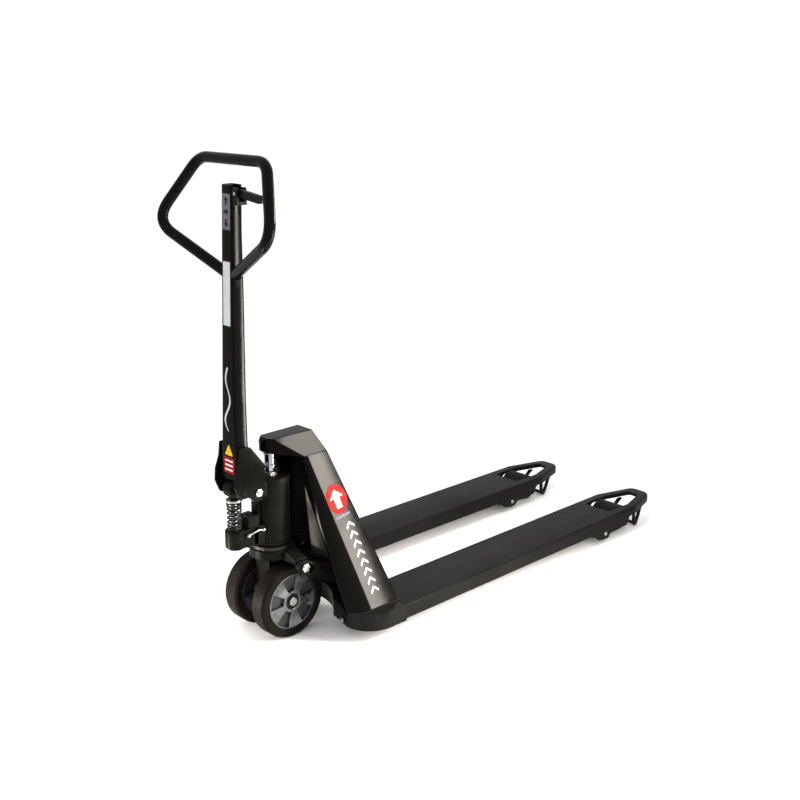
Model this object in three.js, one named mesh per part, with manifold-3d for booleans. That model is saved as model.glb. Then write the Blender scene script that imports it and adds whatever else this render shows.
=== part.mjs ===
// Hand pallet truck: a hydraulic lift truck with two forks, moved and pumped by its tiller.
// Millimetres, +Z up, +X towards the fork tips, +Y to the truck's left. The forks are down and the tiller is upright.
// Lengths along X are measured from the steering axis, and the whole truck is then shifted so that
// the origin lies under the middle of its bounding box.
import * as THREE from "three";
import { ConvexGeometry } from "three/addons/geometries/ConvexGeometry.js";
import { mergeVertices } from "three/addons/utils/BufferGeometryUtils.js";
import Module from "manifold-3d";

const wasm = await Module();
wasm.setup();

// Driving dimensions
const TRUCK_MIDDLE_X = 610.5; // middle of the bounding box, ahead of the steering axis
const GAP = 0.3; // between pieces that touch
const HALF_WIDTH = 270;
const FORK_WIDTH = 155;
const FORK_MIDDLE_Y = HALF_WIDTH - FORK_WIDTH / 2;
const FORK_TOP = 82;
const FORK_HEEL_X = 228;
const FORK_TIP_X = 1376;
const TAPER_X = 1245;
const TIP_HALF_WIDTH = 37;
const SHEET = 4;
const PLATE = 5;
const BASE_BOTTOM = 35;
const TURNING_CLEARANCE = 157; // radius of the bay in the base that the steering wheels turn in
const LEG_TOP = 484;
const BASE_CORNER = { x: 170, y: 190, radius: 80 };
const HOOD_TOP = 530;

const WHEEL_RADIUS = 100;
const WHEEL_INNER_Y = 33;
const WHEEL_OUTER_Y = 83;
const HUB_RADIUS = 75;
const AXLE_RADIUS = 12;
const BEARING_RADIUS = 21;

const LOAD_WHEEL = { x: 1210, z: 41, radius: 41, halfWidth: 44, core: 26, axle: 10 };
const FRAME_PIVOT = { x: 1093, z: 30, radius: 7 };
const PUSH_PIVOT = { x: 1075.7, z: 55.75, radius: 6 };
const FRAME_PLATE_OFFSETS = [-50.5, 50.5]; // side plates of a wheel frame, from the middle of its fork

const ROCKER = { x: 176, z: 120, shaft: 12.5, tube: 20 };
const ROCKER_PUSH = { x: 158.7, z: 67.8, radius: 8 };
const TRUNNION = { x: 11, z: 204.5, radius: 8 };

const RAM_RADIUS = 14;
const RESERVOIR = { radius: 50, bottom: 258, top: 430 };
const COLLAR = { inner: 44, outer: 60, bottom: 212, top: 238 };
const TILLER_PIVOT = { x: -70, z: 408, radius: 8 };
const PLUNGER = { x: -115, radius: 9, top: 392.5, bottom: 305.5, bore: 261.5 };
const ROLLER = { x: -115, z: 417, radius: 22 };
const VALVE_PIVOT = { x: -50, z: 300 };
const LEVER_PIVOT = { x: -84, y: -32, z: 1149, radius: 4 };

const SIDES = { left: 1, right: -1 };

// Materials
const paint = (name, color, roughness, metalness) =>
  new THREE.MeshStandardMaterial({ name, color, roughness, metalness });
const GLOSS_BLACK = paint("gloss_black", 0x1b1c1d, 0.3, 0.1);
const SATIN_BLACK = paint("satin_black", 0x2e2e2e, 0.5, 0.1);
const CHROME = paint("chrome", 0xd0d4d6, 0.12, 1);
const ZINC = paint("zinc", 0xb9bbb8, 0.35, 1);
const STEEL = paint("steel", 0x8d8f90, 0.4, 1);
const ALUMINIUM = paint("aluminium", 0xa9acae, 0.4, 1);
const CASTING = paint("casting", 0x3a3937, 0.6, 0.3);
const TYRE = paint("tyre", 0x2b2826, 0.7, 0);
const PLASTIC = paint("plastic", 0x161616, 0.45, 0);

// A closed three.js geometry as a solid.
function solid(geometry) {
  geometry.deleteAttribute("normal");
  geometry.deleteAttribute("uv");
  const merged = mergeVertices(geometry, 1e-4);
  const corners = merged.index.array;
  const kept = [];
  for (let i = 0; i < corners.length; i += 3) {
    const [a, b, c] = corners.subarray(i, i + 3);
    if (a !== b && b !== c && c !== a) kept.push(a, b, c);
  }
  const vertProperties = merged.attributes.position.array;
  return new wasm.Manifold(new wasm.Mesh({ numProp: 3, vertProperties, triVerts: new Uint32Array(kept) }));
}

const join = (...solids) => solids.reduce((a, b) => a.add(b));
const cut = (body, ...tools) => tools.reduce((a, b) => a.subtract(b), body);

const range = (a, b) => [Math.min(a, b), Math.max(a, b)];

function block(xs, ys, zs) {
  const [x0, x1] = range(...xs);
  const [y0, y1] = range(...ys);
  const [z0, z1] = range(...zs);
  const geometry = new THREE.BoxGeometry(x1 - x0, y1 - y0, z1 - z0);
  return solid(geometry.translate((x0 + x1) / 2, (y0 + y1) / 2, (z0 + z1) / 2));
}

// An outline of [x, y] points, extruded from z0 to z1.
function plateZ(points, z0, z1) {
  const shape = new THREE.Shape(points.map(([x, y]) => new THREE.Vector2(x, y)));
  return solid(extruded(shape, z1 - z0).translate(0, 0, z0));
}

// An outline of [x, z] points, extruded between two values of y.
function plateY(points, ya, yb) {
  const [y0, y1] = range(ya, yb);
  const shape = new THREE.Shape(points.map(([x, z]) => new THREE.Vector2(x, z)));
  return solid(extruded(shape, y1 - y0).rotateX(Math.PI / 2).translate(0, y1, 0));
}

// An outline of [y, z] points, extruded between two values of x.
function plateX(points, x0, x1) {
  const shape = new THREE.Shape(points.map(([y, z]) => new THREE.Vector2(y, z)));
  const turn = new THREE.Matrix4().makeBasis(
    new THREE.Vector3(0, 1, 0),
    new THREE.Vector3(0, 0, 1),
    new THREE.Vector3(1, 0, 0),
  );
  return solid(extruded(shape, x1 - x0).applyMatrix4(turn).translate(x0, 0, 0));
}

function extruded(shape, depth) {
  return new THREE.ExtrudeGeometry(shape, { depth, bevelEnabled: false, curveSegments: 6 });
}

function rod(radius, from, to, segments = 16) {
  const a = new THREE.Vector3(...from);
  const b = new THREE.Vector3(...to);
  const geometry = new THREE.CylinderGeometry(radius, radius, a.distanceTo(b), segments);
  const up = new THREE.Vector3(0, 1, 0);
  const direction = b.clone().sub(a).normalize();
  geometry.applyQuaternion(new THREE.Quaternion().setFromUnitVectors(up, direction));
  const middle = a.add(b).multiplyScalar(0.5);
  return solid(geometry.translate(middle.x, middle.y, middle.z));
}

// A rod along Y at a place given by x and z.
const crossRod = (radius, at, y0, y1, segments) => rod(radius, [at.x, y0, at.z], [at.x, y1, at.z], segments);

// A profile of [radius, height] points turned about the Z axis.
function turnedZ(profile, segments = 24) {
  const points = profile.map(([r, h]) => new THREE.Vector2(r, h));
  return solid(new THREE.LatheGeometry(points, segments).rotateX(Math.PI / 2));
}

// A closed profile of [radius, y] points turned about a line along Y; a side of -1 mirrors it.
function turnedY(profile, at, side, segments = 20) {
  const ordered = side > 0 ? profile : profile.map(([r, y]) => [r, -y]).reverse();
  const points = [...ordered, ordered[0]].map(([r, y]) => new THREE.Vector2(r, y));
  return solid(new THREE.LatheGeometry(points, segments).translate(at.x, 0, at.z));
}

const ringProfile = (inner, outer, low, high) => [
  [inner, low],
  [outer, low],
  [outer, high],
  [inner, high],
];

function ringZ(inner, outer, low, high, segments) {
  const profile = ringProfile(inner, outer, low, high);
  return turnedZ([...profile, profile[0]], segments);
}

// A ruled body through outlines of [x, y] points, one at each height.
function loft(sections) {
  const count = sections[0].points.length;
  const flat = sections[0].points.map(([x, y]) => new THREE.Vector2(x, y));
  const turned = THREE.ShapeUtils.isClockWise(flat);
  const positions = sections.flatMap(({ z, points }) => points.flatMap(([x, y]) => [x, y, z]));
  const faces = [];
  const face = (a, b, c) => faces.push(...(turned ? [a, c, b] : [a, b, c]));
  for (let level = 0; level + 1 < sections.length; level++) {
    for (let i = 0; i < count; i++) {
      const a = level * count + i;
      const b = level * count + ((i + 1) % count);
      face(a, b, b + count);
      face(a, b + count, a + count);
    }
  }
  const top = (sections.length - 1) * count;
  const order = turned ? [...flat].reverse() : flat;
  const index = (i) => (turned ? count - 1 - i : i);
  for (const [a, b, c] of THREE.ShapeUtils.triangulateShape(order, [])) {
    faces.push(index(a), index(c), index(b));
    faces.push(top + index(a), top + index(b), top + index(c));
  }
  const geometry = new THREE.BufferGeometry();
  geometry.setAttribute("position", new THREE.Float32BufferAttribute(positions, 3));
  geometry.setIndex(faces);
  return solid(geometry);
}

// A flat link whose outline wraps circles given as { x, z, radius }.
function link(circles, y0, y1, segments = 12) {
  const points = [];
  for (const { x, z, radius } of circles) {
    for (let i = 0; i < segments; i++) {
      const angle = (i / segments) * 2 * Math.PI;
      for (const y of [y0, y1]) {
        points.push(new THREE.Vector3(x + radius * Math.cos(angle), y, z + radius * Math.sin(angle)));
      }
    }
  }
  return solid(new ConvexGeometry(points));
}

function convex(points) {
  return solid(new ConvexGeometry(points.map((p) => new THREE.Vector3(...p))));
}

const bothSides = (points) => points.flatMap(([x, y, z]) => [[x, y, z], [x, -y, z]]);

// A round bar along a curve.
function tube(curve, radius, steps, sides) {
  const shape = new THREE.Shape();
  for (let i = 0; i < sides; i++) {
    const angle = (i / sides) * 2 * Math.PI;
    const method = i ? "lineTo" : "moveTo";
    shape[method](radius * Math.cos(angle), radius * Math.sin(angle));
  }
  return solid(new THREE.ExtrudeGeometry(shape, { steps, bevelEnabled: false, extrudePath: curve }));
}

function arc(centre, radius, from, to, steps) {
  return Array.from({ length: steps + 1 }, (_, i) => {
    const angle = THREE.MathUtils.degToRad(from + ((to - from) * i) / steps);
    return [centre[0] + radius * Math.cos(angle), centre[1] + radius * Math.sin(angle)];
  });
}

const at = (place, radius, extra = 0) => ({ x: place.x, z: place.z, radius: radius + extra });

// ---- Forks ----

const TAPER_SLOPE = (FORK_WIDTH / 2 - TIP_HALF_WIDTH) / (FORK_TIP_X - TAPER_X);

// Plan outline of a fork about its own middle line, drawn in by an inset.
function forkPlan(side, inset, heel) {
  const half = FORK_WIDTH / 2 - inset;
  const tipHalf = TIP_HALF_WIDTH - inset;
  const tip = FORK_TIP_X - inset;
  const round = 16;
  const oneEdge = [
    [heel, half],
    [TAPER_X, half],
    [tip - round, tipHalf + round * TAPER_SLOPE],
    [tip - round * 0.3, tipHalf - round * 0.3],
    [tip, tipHalf - round],
  ];
  const otherEdge = oneEdge.map(([x, v]) => [x, -v]).reverse();
  return [...oneEdge, ...otherEdge].map(([x, v]) => [x, side * FORK_MIDDLE_Y + v]);
}

// The opening in the top plate that the load wheel stands in.
function wheelWindow(side) {
  const rear = 1145;
  const front = 1337;
  const half = 47.5;
  const frontHalf = 20;
  const corner = 8;
  const oneEdge = [
    [rear, half - corner],
    [rear + corner, half],
    [TAPER_X, half],
    [front - corner, frontHalf + corner * TAPER_SLOPE],
    [front, frontHalf - corner],
  ];
  const otherEdge = oneEdge.map(([x, v]) => [x, -v]).reverse();
  return [...oneEdge, ...otherEdge].map(([x, v]) => [x, side * FORK_MIDDLE_Y + v]);
}

// What is cut away below the fork's flanges, whose lobes hold the wheel frame's shaft.
const BELOW_FLANGE = [
  [FORK_HEEL_X - 1, 10],
  [FORK_HEEL_X - 1, 41],
  [1012, 41],
  [1034, 33],
  [1062, 17],
  [1080, 14],
  [1104, 14],
  [1118, 27],
  [1200, 30],
  [1215, 57],
  [FORK_TIP_X + 1, 57],
  [FORK_TIP_X + 1, 10],
];

function rightFork() {
  const side = SIDES.right;
  const middle = side * FORK_MIDDLE_Y;
  return cut(
    plateZ(forkPlan(side, 0, FORK_HEEL_X + GAP), 12, FORK_TOP),
    plateZ(forkPlan(side, SHEET, FORK_HEEL_X - 1), 11, FORK_TOP - SHEET),
    plateZ(wheelWindow(side), 70, FORK_TOP + 1),
    plateY(BELOW_FLANGE, middle - FORK_WIDTH, middle + FORK_WIDTH),
    crossRod(FRAME_PIVOT.radius + GAP, FRAME_PIVOT, middle - FORK_WIDTH, middle + FORK_WIDTH),
  );
}

const fork = (side) => (side === SIDES.right ? rightFork() : mirrored(rightFork()));

// Two bent strips and a cross bar under the tip, which ride up onto a pallet's bottom boards.
function entrySkid(side) {
  const taper = Math.atan(TAPER_SLOPE);
  const strip = 9;
  const half = FORK_WIDTH / 2 - 7;
  const loop = [
    [8, 56.6],
    [11, 26],
    [20, 7],
    [31, 3],
    [42, 7],
    [62, 24],
    [74, 41],
    [90, 56.6],
  ];
  const hole = [
    [17, 58],
    [19, 28],
    [25, 14],
    [31, 11],
    [38, 14],
    [55, 29],
    [66, 45],
    [77, 58],
  ];
  const parts = [-1, 1].map((edge) => {
    const outline = (points) => new THREE.Shape(points.map(([s, z]) => new THREE.Vector2(s, z)));
    const placed = (points, depth, lift) =>
      extruded(outline(points), depth)
        .rotateX(Math.PI / 2)
        .translate(0, depth - lift, 0)
        .rotateZ(-taper)
        .translate(TAPER_X, half - strip, 0);
    const strap = cut(solid(placed(loop, strip, 0)), solid(placed(hole, strip + 2, 1)));
    return edge * side > 0 ? { strap, edge } : { strap: mirrored(strap), edge };
  });
  const moved = parts.map(({ strap }) => shifted(strap, side * FORK_MIDDLE_Y));
  const reach = half - 14;
  const bar = rod(5, [1276, side * FORK_MIDDLE_Y - reach, 9], [1276, side * FORK_MIDDLE_Y + reach, 9], 12);
  return join(...moved, bar);
}

function geometryOf(body) {
  const { vertProperties, triVerts } = body.getMesh();
  const geometry = new THREE.BufferGeometry();
  geometry.setAttribute("position", new THREE.BufferAttribute(vertProperties, 3));
  geometry.setIndex(new THREE.BufferAttribute(triVerts, 1));
  return geometry;
}

const shifted = (body, y) => solid(geometryOf(body).translate(0, y, 0));

function mirrored(body) {
  const geometry = geometryOf(body).scale(1, -1, 1);
  const corners = geometry.index.array;
  for (let i = 0; i < corners.length; i += 3) {
    [corners[i + 1], corners[i + 2]] = [corners[i + 2], corners[i + 1]];
  }
  return solid(geometry);
}

// ---- Chassis ----

// Plan of the base, which carries both forks and bends round the turning wheels.
function basePlan(inset) {
  const { x, y, radius } = BASE_CORNER;
  const bay = TURNING_CLEARANCE + inset;
  const oneSide = [
    ...arc([0, 0], bay, 0, 46, 8).slice(1),
    ...arc([x, y], radius - inset, 180, 90, 6),
    [FORK_HEEL_X, HALF_WIDTH - inset],
  ];
  const otherSide = oneSide.map(([x, y]) => [x, -y]).reverse();
  return [...oneSide, ...otherSide];
}

function base() {
  const hollow = cut(
    plateZ(basePlan(PLATE), BASE_BOTTOM - 1, FORK_TOP - PLATE),
    block([FORK_HEEL_X - PLATE, FORK_HEEL_X + 5], [-119, 119], [0, 100]),
  );
  const pieces = Object.values(SIDES).map((side) =>
    block([138, 222], [side * 177, side * 208], [BASE_BOTTOM, FORK_TOP + 1]),
  );
  return cut(plateZ(basePlan(0), BASE_BOTTOM, FORK_TOP), hollow, ...pieces);
}

// A leg's plan at its foot and at its head. Its rear edge is bent to a cone, which is wide at the foot,
// to suit the base's corner, and wraps through the given angle.
const LEG_FOOT = { z: FORK_TOP + GAP, outer: 235, front: 232, rear: 60, bend: 80, wrap: 50, flange: 2 };
const LEG_HEAD = { z: LEG_TOP - GAP, outer: 80, front: 125, rear: 49, bend: 12, wrap: 90, flange: 30 };

// The leg's outer face and front edge at a height.
function legAt(z) {
  const rise = (z - LEG_FOOT.z) / (LEG_HEAD.z - LEG_FOOT.z);
  const mix = (key) => LEG_FOOT[key] + (LEG_HEAD[key] - LEG_FOOT[key]) * rise;
  return { outer: mix("outer"), front: mix("front") };
}

function legSection(side, { z, outer, front, rear, bend, wrap, flange }) {
  const centre = [rear + bend, outer - bend];
  const end = 90 + wrap;
  const inwards = THREE.MathUtils.degToRad(end + 90);
  const extended = ([x, y]) => [x + flange * Math.cos(inwards), y + flange * Math.sin(inwards)];
  const outside = arc(centre, bend, 90, end, 7);
  const inside = arc(centre, bend - PLATE, end, 90, 7);
  const points = [
    [front, outer],
    ...outside,
    extended(outside[7]),
    extended(inside[0]),
    ...inside,
    [front, outer - PLATE],
  ];
  return { z, points: points.map(([x, y]) => [x, side * y]) };
}

function leg(side) {
  const bottom = LEG_FOOT.z;
  const shell = loft([legSection(side, LEG_FOOT), legSection(side, LEG_HEAD)]);
  const inward = [
    [side * 150, bottom],
    [side * (legAt(bottom).outer - 1), bottom],
    [side * (legAt(200).outer - 1), 200],
    [side * 150, 200],
  ];
  const boss = cut(
    crossRod(ROCKER.shaft + 6, ROCKER, side * 203, side * 240).intersect(plateX(inward, 100, 250)),
    crossRod(ROCKER.shaft + GAP, ROCKER, side * 200, side * 211.5),
  );
  return join(shell, boss);
}

function frontPlate() {
  const section = (z) => {
    const { outer, front } = legAt(z);
    const half = outer - PLATE - 1;
    const points = [
      [front - PLATE, -half],
      [front, -half],
      [front, half],
      [front - PLATE, half],
    ];
    return { z, points };
  };
  return loft([section(LEG_FOOT.z), section(LEG_HEAD.z)]);
}

const HOOD_CORNERS = bothSides([
  [118, 29, HOOD_TOP],
  [-8, 25, HOOD_TOP],
  [-16, 12, HOOD_TOP],
  [-22, 14, 522],
  [-26, 3, 522],
  [-10, 27, 509],
  [-22, 14, 496],
  [-26, 3, 496],
  [-10, 24, 490],
  [-16, 12, 490],
  [49, 80, LEG_TOP],
  [125, 80, LEG_TOP],
]);

function hood() {
  const wall = 0.92;
  const middleX = 45;
  const inside = HOOD_CORNERS.map(([x, y, z]) => [
    middleX + (x - middleX) * wall,
    y * wall,
    LEG_TOP - 1 + (z - LEG_TOP) * wall,
  ]);
  const seatClearance = rod(17 + GAP, [0, 0, LEG_TOP - 2], [0, 0, 520 + GAP], 24);
  return cut(convex(HOOD_CORNERS), convex(inside), seatClearance);
}

function ramSeat() {
  return turnedZ([
    [0, 508.5],
    [RAM_RADIUS + GAP, 508.5],
    [RAM_RADIUS + GAP, 486],
    [17, 486],
    [17, 520],
    [0, 520],
  ]);
}

// ---- Hydraulic pump ----

function liftRam() {
  return turnedZ([
    [0, 266],
    [RAM_RADIUS, 266],
    [RAM_RADIUS, 450],
    [17, 450],
    [17, 458],
    [RAM_RADIUS, 458],
    [RAM_RADIUS, 506],
    [12, 508],
    [0, 508],
  ], 20);
}

function reservoir() {
  const { radius, bottom, top } = RESERVOIR;
  const bore = RAM_RADIUS + 0.4;
  return turnedZ([
    [0, bottom + GAP],
    [radius, bottom + GAP],
    [radius, top - 3],
    [radius - 3, top],
    [bore, top],
    [bore, 262],
    [0, 262],
  ]);
}

// The casting under the reservoir: neck, axle carrier, the block that the plunger works in, and the valve block.
function pumpBase() {
  const { radius, bottom } = RESERVOIR;
  const carrierHalf = WHEEL_INNER_Y - 3.5;
  const axle = { x: 0, z: WHEEL_RADIUS };
  const body = join(
    turnedZ([
      [0, 202],
      [40, 202],
      [40, 248],
      [radius, 248],
      [radius, bottom],
      [0, bottom],
    ]),
    block([-34, 34], [-carrierHalf, carrierHalf], [axle.z, 204]),
    crossRod(34, axle, -carrierHalf, carrierHalf),
    block([PLUNGER.x, -20], [-26, 26], [262, 308]),
    block([-75, -20], [-26, 26], [257, 308]),
    rod(26, [PLUNGER.x, 0, 262], [PLUNGER.x, 0, 308], 20),
    rod(20, [PLUNGER.x, 0, 258], [PLUNGER.x, 0, 263], 20),
    block([-90, -55], [-22, 22], [300, 338]),
  );
  return cut(
    body,
    rod(radius + GAP, [0, 0, bottom], [0, 0, 320], 24),
    crossRod(AXLE_RADIUS + GAP, axle, -60, 60),
    rod(PLUNGER.radius + GAP, [PLUNGER.x, 0, PLUNGER.bore], [PLUNGER.x, 0, 320]),
  );
}

// Bolted to the reservoir's rear, it carries the tiller's pivot pin on top of the pressure cylinder.
function tillerMount() {
  const half = 35;
  const outline = [
    [-20, 388],
    [-74, 388],
    [-86, 400],
    [-86, 416],
    [-76, 426],
    [-20, 426],
  ];
  return cut(
    join(plateY(outline, -half, half), block([-54, -20], [-16, 16], [308 + GAP, 389])),
    rod(RESERVOIR.radius + GAP, [0, 0, 300], [0, 0, 440], 24),
    crossRod(TILLER_PIVOT.radius + GAP, TILLER_PIVOT, -60, 60),
  );
}

function tillerPivotPin() {
  const { radius } = TILLER_PIVOT;
  const heads = Object.values(SIDES).map((side) =>
    crossRod(radius + 3.5, TILLER_PIVOT, side * 45.6, side * 50, 6),
  );
  return join(crossRod(radius, TILLER_PIVOT, -48, 48), ...heads);
}

function glandNut() {
  const { top } = RESERVOIR;
  return cut(
    rod(23, [0, 0, top + GAP], [0, 0, top + 7], 6),
    rod(RAM_RADIUS + 1, [0, 0, top - 1], [0, 0, top + 8]),
  );
}

function fillerPlug() {
  return rod(7, [32, 12, RESERVOIR.top + GAP], [32, 12, RESERVOIR.top + 7], 6);
}

function plunger() {
  return turnedAt(PLUNGER.x, [
    [0, PLUNGER.bottom],
    [PLUNGER.radius, PLUNGER.bottom],
    [PLUNGER.radius, 384],
    [0, 384],
  ]);
}

function springCap() {
  return turnedAt(PLUNGER.x, [
    [0, 384 + GAP],
    [19, 384 + GAP],
    [21, 387],
    [21, PLUNGER.top - 2],
    [19, PLUNGER.top],
    [0, PLUNGER.top],
  ]);
}

function turnedAt(x, profile) {
  return solid(geometryOf(turnedZ(profile, 16)).translate(x, 0, 0));
}

function pumpSpring() {
  const turns = 7;
  const coil = 17;
  const low = 311.4;
  const high = 381.2;
  class Helix extends THREE.Curve {
    getPoint(t, target = new THREE.Vector3()) {
      const angle = t * turns * 2 * Math.PI;
      return target.set(
        PLUNGER.x + coil * Math.cos(angle),
        coil * Math.sin(angle),
        low + (high - low) * t,
      );
    }
  }
  return tube(new Helix(), 2.8, turns * 10, 5);
}

function valveArm() {
  const bar = [
    { x: VALVE_PIVOT.x, z: VALVE_PIVOT.z, radius: 4 },
    { x: -72, z: 299, radius: 3 },
  ];
  const tip = [
    { x: -72, z: 299, radius: 3 },
    { x: -96, z: 296, radius: 4 },
  ];
  return join(
    link(bar, -33, -29, 10),
    link(tip, -33, -29, 10),
    rod(5.5, [VALVE_PIVOT.x, -39, VALVE_PIVOT.z], [VALVE_PIVOT.x, -27, VALVE_PIVOT.z], 12),
    rod(5, [-96, -38, 296], [-96, -28, 296], 12),
  );
}

// ---- Steering wheels ----

const AXLE = { x: 0, z: WHEEL_RADIUS };

function steerAxle() {
  return crossRod(AXLE_RADIUS, AXLE, -86, 86);
}

function steerHub(side) {
  const pocket = BEARING_RADIUS + GAP;
  const profile = [
    [14, 46],
    [pocket, 46],
    [pocket, 35],
    [31, 35],
    [31, 50],
    [65, 50],
    [65, 34],
    [HUB_RADIUS - GAP, 34],
    [HUB_RADIUS - GAP, 82],
    [65, 82],
    [65, 66],
    [31, 66],
    [31, 81],
    [pocket, 81],
    [pocket, 69],
    [14, 69],
  ];
  return turnedY(profile, AXLE, side, 24);
}

function steerTyre(side) {
  const profile = [
    [HUB_RADIUS, WHEEL_INNER_Y + 1],
    [HUB_RADIUS + 2, WHEEL_INNER_Y],
    [WHEEL_RADIUS - 5, WHEEL_INNER_Y],
    [WHEEL_RADIUS, WHEEL_INNER_Y + 5],
    [WHEEL_RADIUS, WHEEL_OUTER_Y - 5],
    [WHEEL_RADIUS - 5, WHEEL_OUTER_Y],
    [HUB_RADIUS + 2, WHEEL_OUTER_Y],
    [HUB_RADIUS, WHEEL_OUTER_Y - 1],
  ];
  return turnedY(profile, AXLE, side, 24);
}

function steerBearing(side, low, high) {
  return turnedY(ringProfile(AXLE_RADIUS + GAP, BEARING_RADIUS, low, high), AXLE, side);
}

// ---- Lift linkage ----

function thrustCollar() {
  const { inner, outer, bottom, top } = COLLAR;
  const arms = Object.values(SIDES).flatMap((side) => [
    block([TRUNNION.x - 19, TRUNNION.x + 19], [side * 46, side * 106], [bottom, top]),
    link([at(TRUNNION, 15), { x: TRUNNION.x, z: top - 15, radius: 15 }], side * 97, side * 106),
  ]);
  return cut(
    join(ringZ(inner - 2, outer, bottom, top, 24), ...arms),
    rod(inner, [0, 0, 100], [0, 0, 300], 24),
    crossRod(TRUNNION.radius + GAP, TRUNNION, -130, 130),
  );
}

function trunnionPin(side) {
  return join(
    crossRod(TRUNNION.radius, TRUNNION, side * 92, side * 124),
    crossRod(13, TRUNNION, side * 122, side * 128, 6),
  );
}

function thrustBearing() {
  return ringZ(COLLAR.inner, 57, COLLAR.top + GAP, 248 - GAP, 24);
}

const ROCKER_ARM = Math.hypot(TRUNNION.x - ROCKER.x, TRUNNION.z - ROCKER.z);
const alongArm = (distance) => ({
  x: ROCKER.x + ((TRUNNION.x - ROCKER.x) * distance) / ROCKER_ARM,
  z: ROCKER.z + ((TRUNNION.z - ROCKER.z) * distance) / ROCKER_ARM,
});

function rocker() {
  const slotNear = alongArm(163);
  const slotFar = alongArm(187.5);
  const slot = TRUNNION.radius + 3.2;
  const wall = 6.5;
  const arms = Object.values(SIDES).flatMap((side) => [
    link([at(ROCKER, 24), at(slotFar, slot, wall)], side * 108, side * 120),
    link([at(ROCKER, 24), at(ROCKER_PUSH, 13)], side * 187.5, side * 197.5),
  ]);
  return cut(
    join(crossRod(ROCKER.tube, ROCKER, -200, 200), ...arms),
    crossRod(ROCKER.shaft + GAP, ROCKER, -220, 220),
    link([at(slotNear, slot), at(slotFar, slot)], -130, 130),
    crossRod(ROCKER_PUSH.radius + GAP, ROCKER_PUSH, -220, 220),
  );
}

function rockerShaft() {
  return crossRod(ROCKER.shaft, ROCKER, -209.5, 209.5);
}

function pushRod(side) {
  const middle = side * FORK_MIDDLE_Y;
  const near = ROCKER_PUSH;
  const far = PUSH_PIVOT;
  const slope = (far.z - near.z) / (far.x - near.x);
  const onLine = (x) => near.z + slope * (x - near.x);
  const fullBar = (x0, x1, half) => [
    [x0, onLine(x0) - half],
    [x1, onLine(x1) - half],
    [x1, onLine(x1) + half],
    [x0, onLine(x0) + half],
  ];
  const cheeks = [-1, 1].map((way) =>
    join(
      link([at(near, 11), { x: near.x + 50, z: onLine(near.x + 50), radius: 7.5 }],
        middle + way * 6, middle + way * 11.5),
      plateY(fullBar(near.x + 40, near.x + 62, 7.5), middle, middle + way * 11.5),
    ),
  );
  const travel = 8.6;
  const slot = far.radius + 0.8;
  const eye = [at(far, slot, 4), { x: far.x, z: far.z + travel, radius: slot + 4 }];
  return cut(
    join(
      ...cheeks,
      crossRod(near.radius, near, middle - 11, middle + 11),
      plateY(fullBar(near.x + 55, far.x - 4, 7.5), middle - 6.5, middle + 6.5),
      link(eye, middle - 6.5, middle + 6.5),
    ),
    link([at(far, slot), { x: far.x, z: far.z + travel, radius: slot }], middle - 20, middle + 20),
  );
}

function wheelFrame(side) {
  const middle = side * FORK_MIDDLE_Y;
  const cheeks = FRAME_PLATE_OFFSETS.map((offset) =>
    link([at(FRAME_PIVOT, 15), at(LOAD_WHEEL, 18), at(PUSH_PIVOT, 12)],
      middle + offset - 3, middle + offset + 3),
  );
  const [low, high] = FRAME_PLATE_OFFSETS;
  return cut(
    join(...cheeks, crossRod(10.5, FRAME_PIVOT, middle + low, middle + high)),
    crossRod(FRAME_PIVOT.radius + GAP, FRAME_PIVOT, middle - 60, middle + 60),
    crossRod(LOAD_WHEEL.axle + GAP, LOAD_WHEEL, middle - 60, middle + 60),
    crossRod(PUSH_PIVOT.radius + GAP, PUSH_PIVOT, middle - 60, middle + 60),
  );
}

function frameShaft(side) {
  return crossRod(FRAME_PIVOT.radius, FRAME_PIVOT, side * (HALF_WIDTH - FORK_WIDTH), side * HALF_WIDTH);
}

function loadAxle(side) {
  const middle = side * FORK_MIDDLE_Y;
  return crossRod(LOAD_WHEEL.axle, LOAD_WHEEL, middle - 57, middle + 57);
}

function pushPin(side) {
  const middle = side * FORK_MIDDLE_Y;
  return crossRod(PUSH_PIVOT.radius, PUSH_PIVOT, middle - 56, middle + 56);
}

function loadWheelCore(side) {
  const { halfWidth, core, axle } = LOAD_WHEEL;
  const middle = FORK_MIDDLE_Y;
  const profile = ringProfile(axle + GAP, core, middle - halfWidth + 2, middle + halfWidth - 2);
  return turnedY(profile, LOAD_WHEEL, side);
}

function loadWheelTyre(side) {
  const { halfWidth, core, radius } = LOAD_WHEEL;
  const low = FORK_MIDDLE_Y - halfWidth;
  const high = FORK_MIDDLE_Y + halfWidth;
  const profile = [
    [core + GAP, low],
    [radius - 4, low],
    [radius, low + 4],
    [radius, high - 4],
    [radius - 4, high],
    [core + GAP, high],
  ];
  return turnedY(profile, LOAD_WHEEL, side);
}

// ---- Tiller ----

// Levels of the leaning, tapering box tube: height, front and rear faces, and half width.
const TILLER_LEVELS = [
  { z: 446, front: -126, rear: -84, half: 35.6 },
  { z: 485, front: -124, rear: -85, half: 34.5 },
  { z: 547, front: -122.3, rear: -84.6, half: 30.5 },
  { z: 648, front: -120.3, rear: -81.5, half: 26 },
  { z: 895, front: -110.7, rear: -74.2, half: 22.9 },
  { z: 1062, front: -103.7, rear: -72.1, half: 22.1 },
  { z: 1168, front: -99.5, rear: -67, half: 20.9 },
];

function tillerSection({ z, front, rear, half }, inset) {
  const corner = 5;
  const [x0, x1, y] = [front + inset, rear - inset, half - inset];
  const points = [
    [x0 + corner, -y],
    [x1 - corner, -y],
    [x1, -y + corner],
    [x1, y - corner],
    [x1 - corner, y],
    [x0 + corner, y],
    [x0, y - corner],
    [x0, -y + corner],
  ];
  return { z, points };
}

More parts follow.
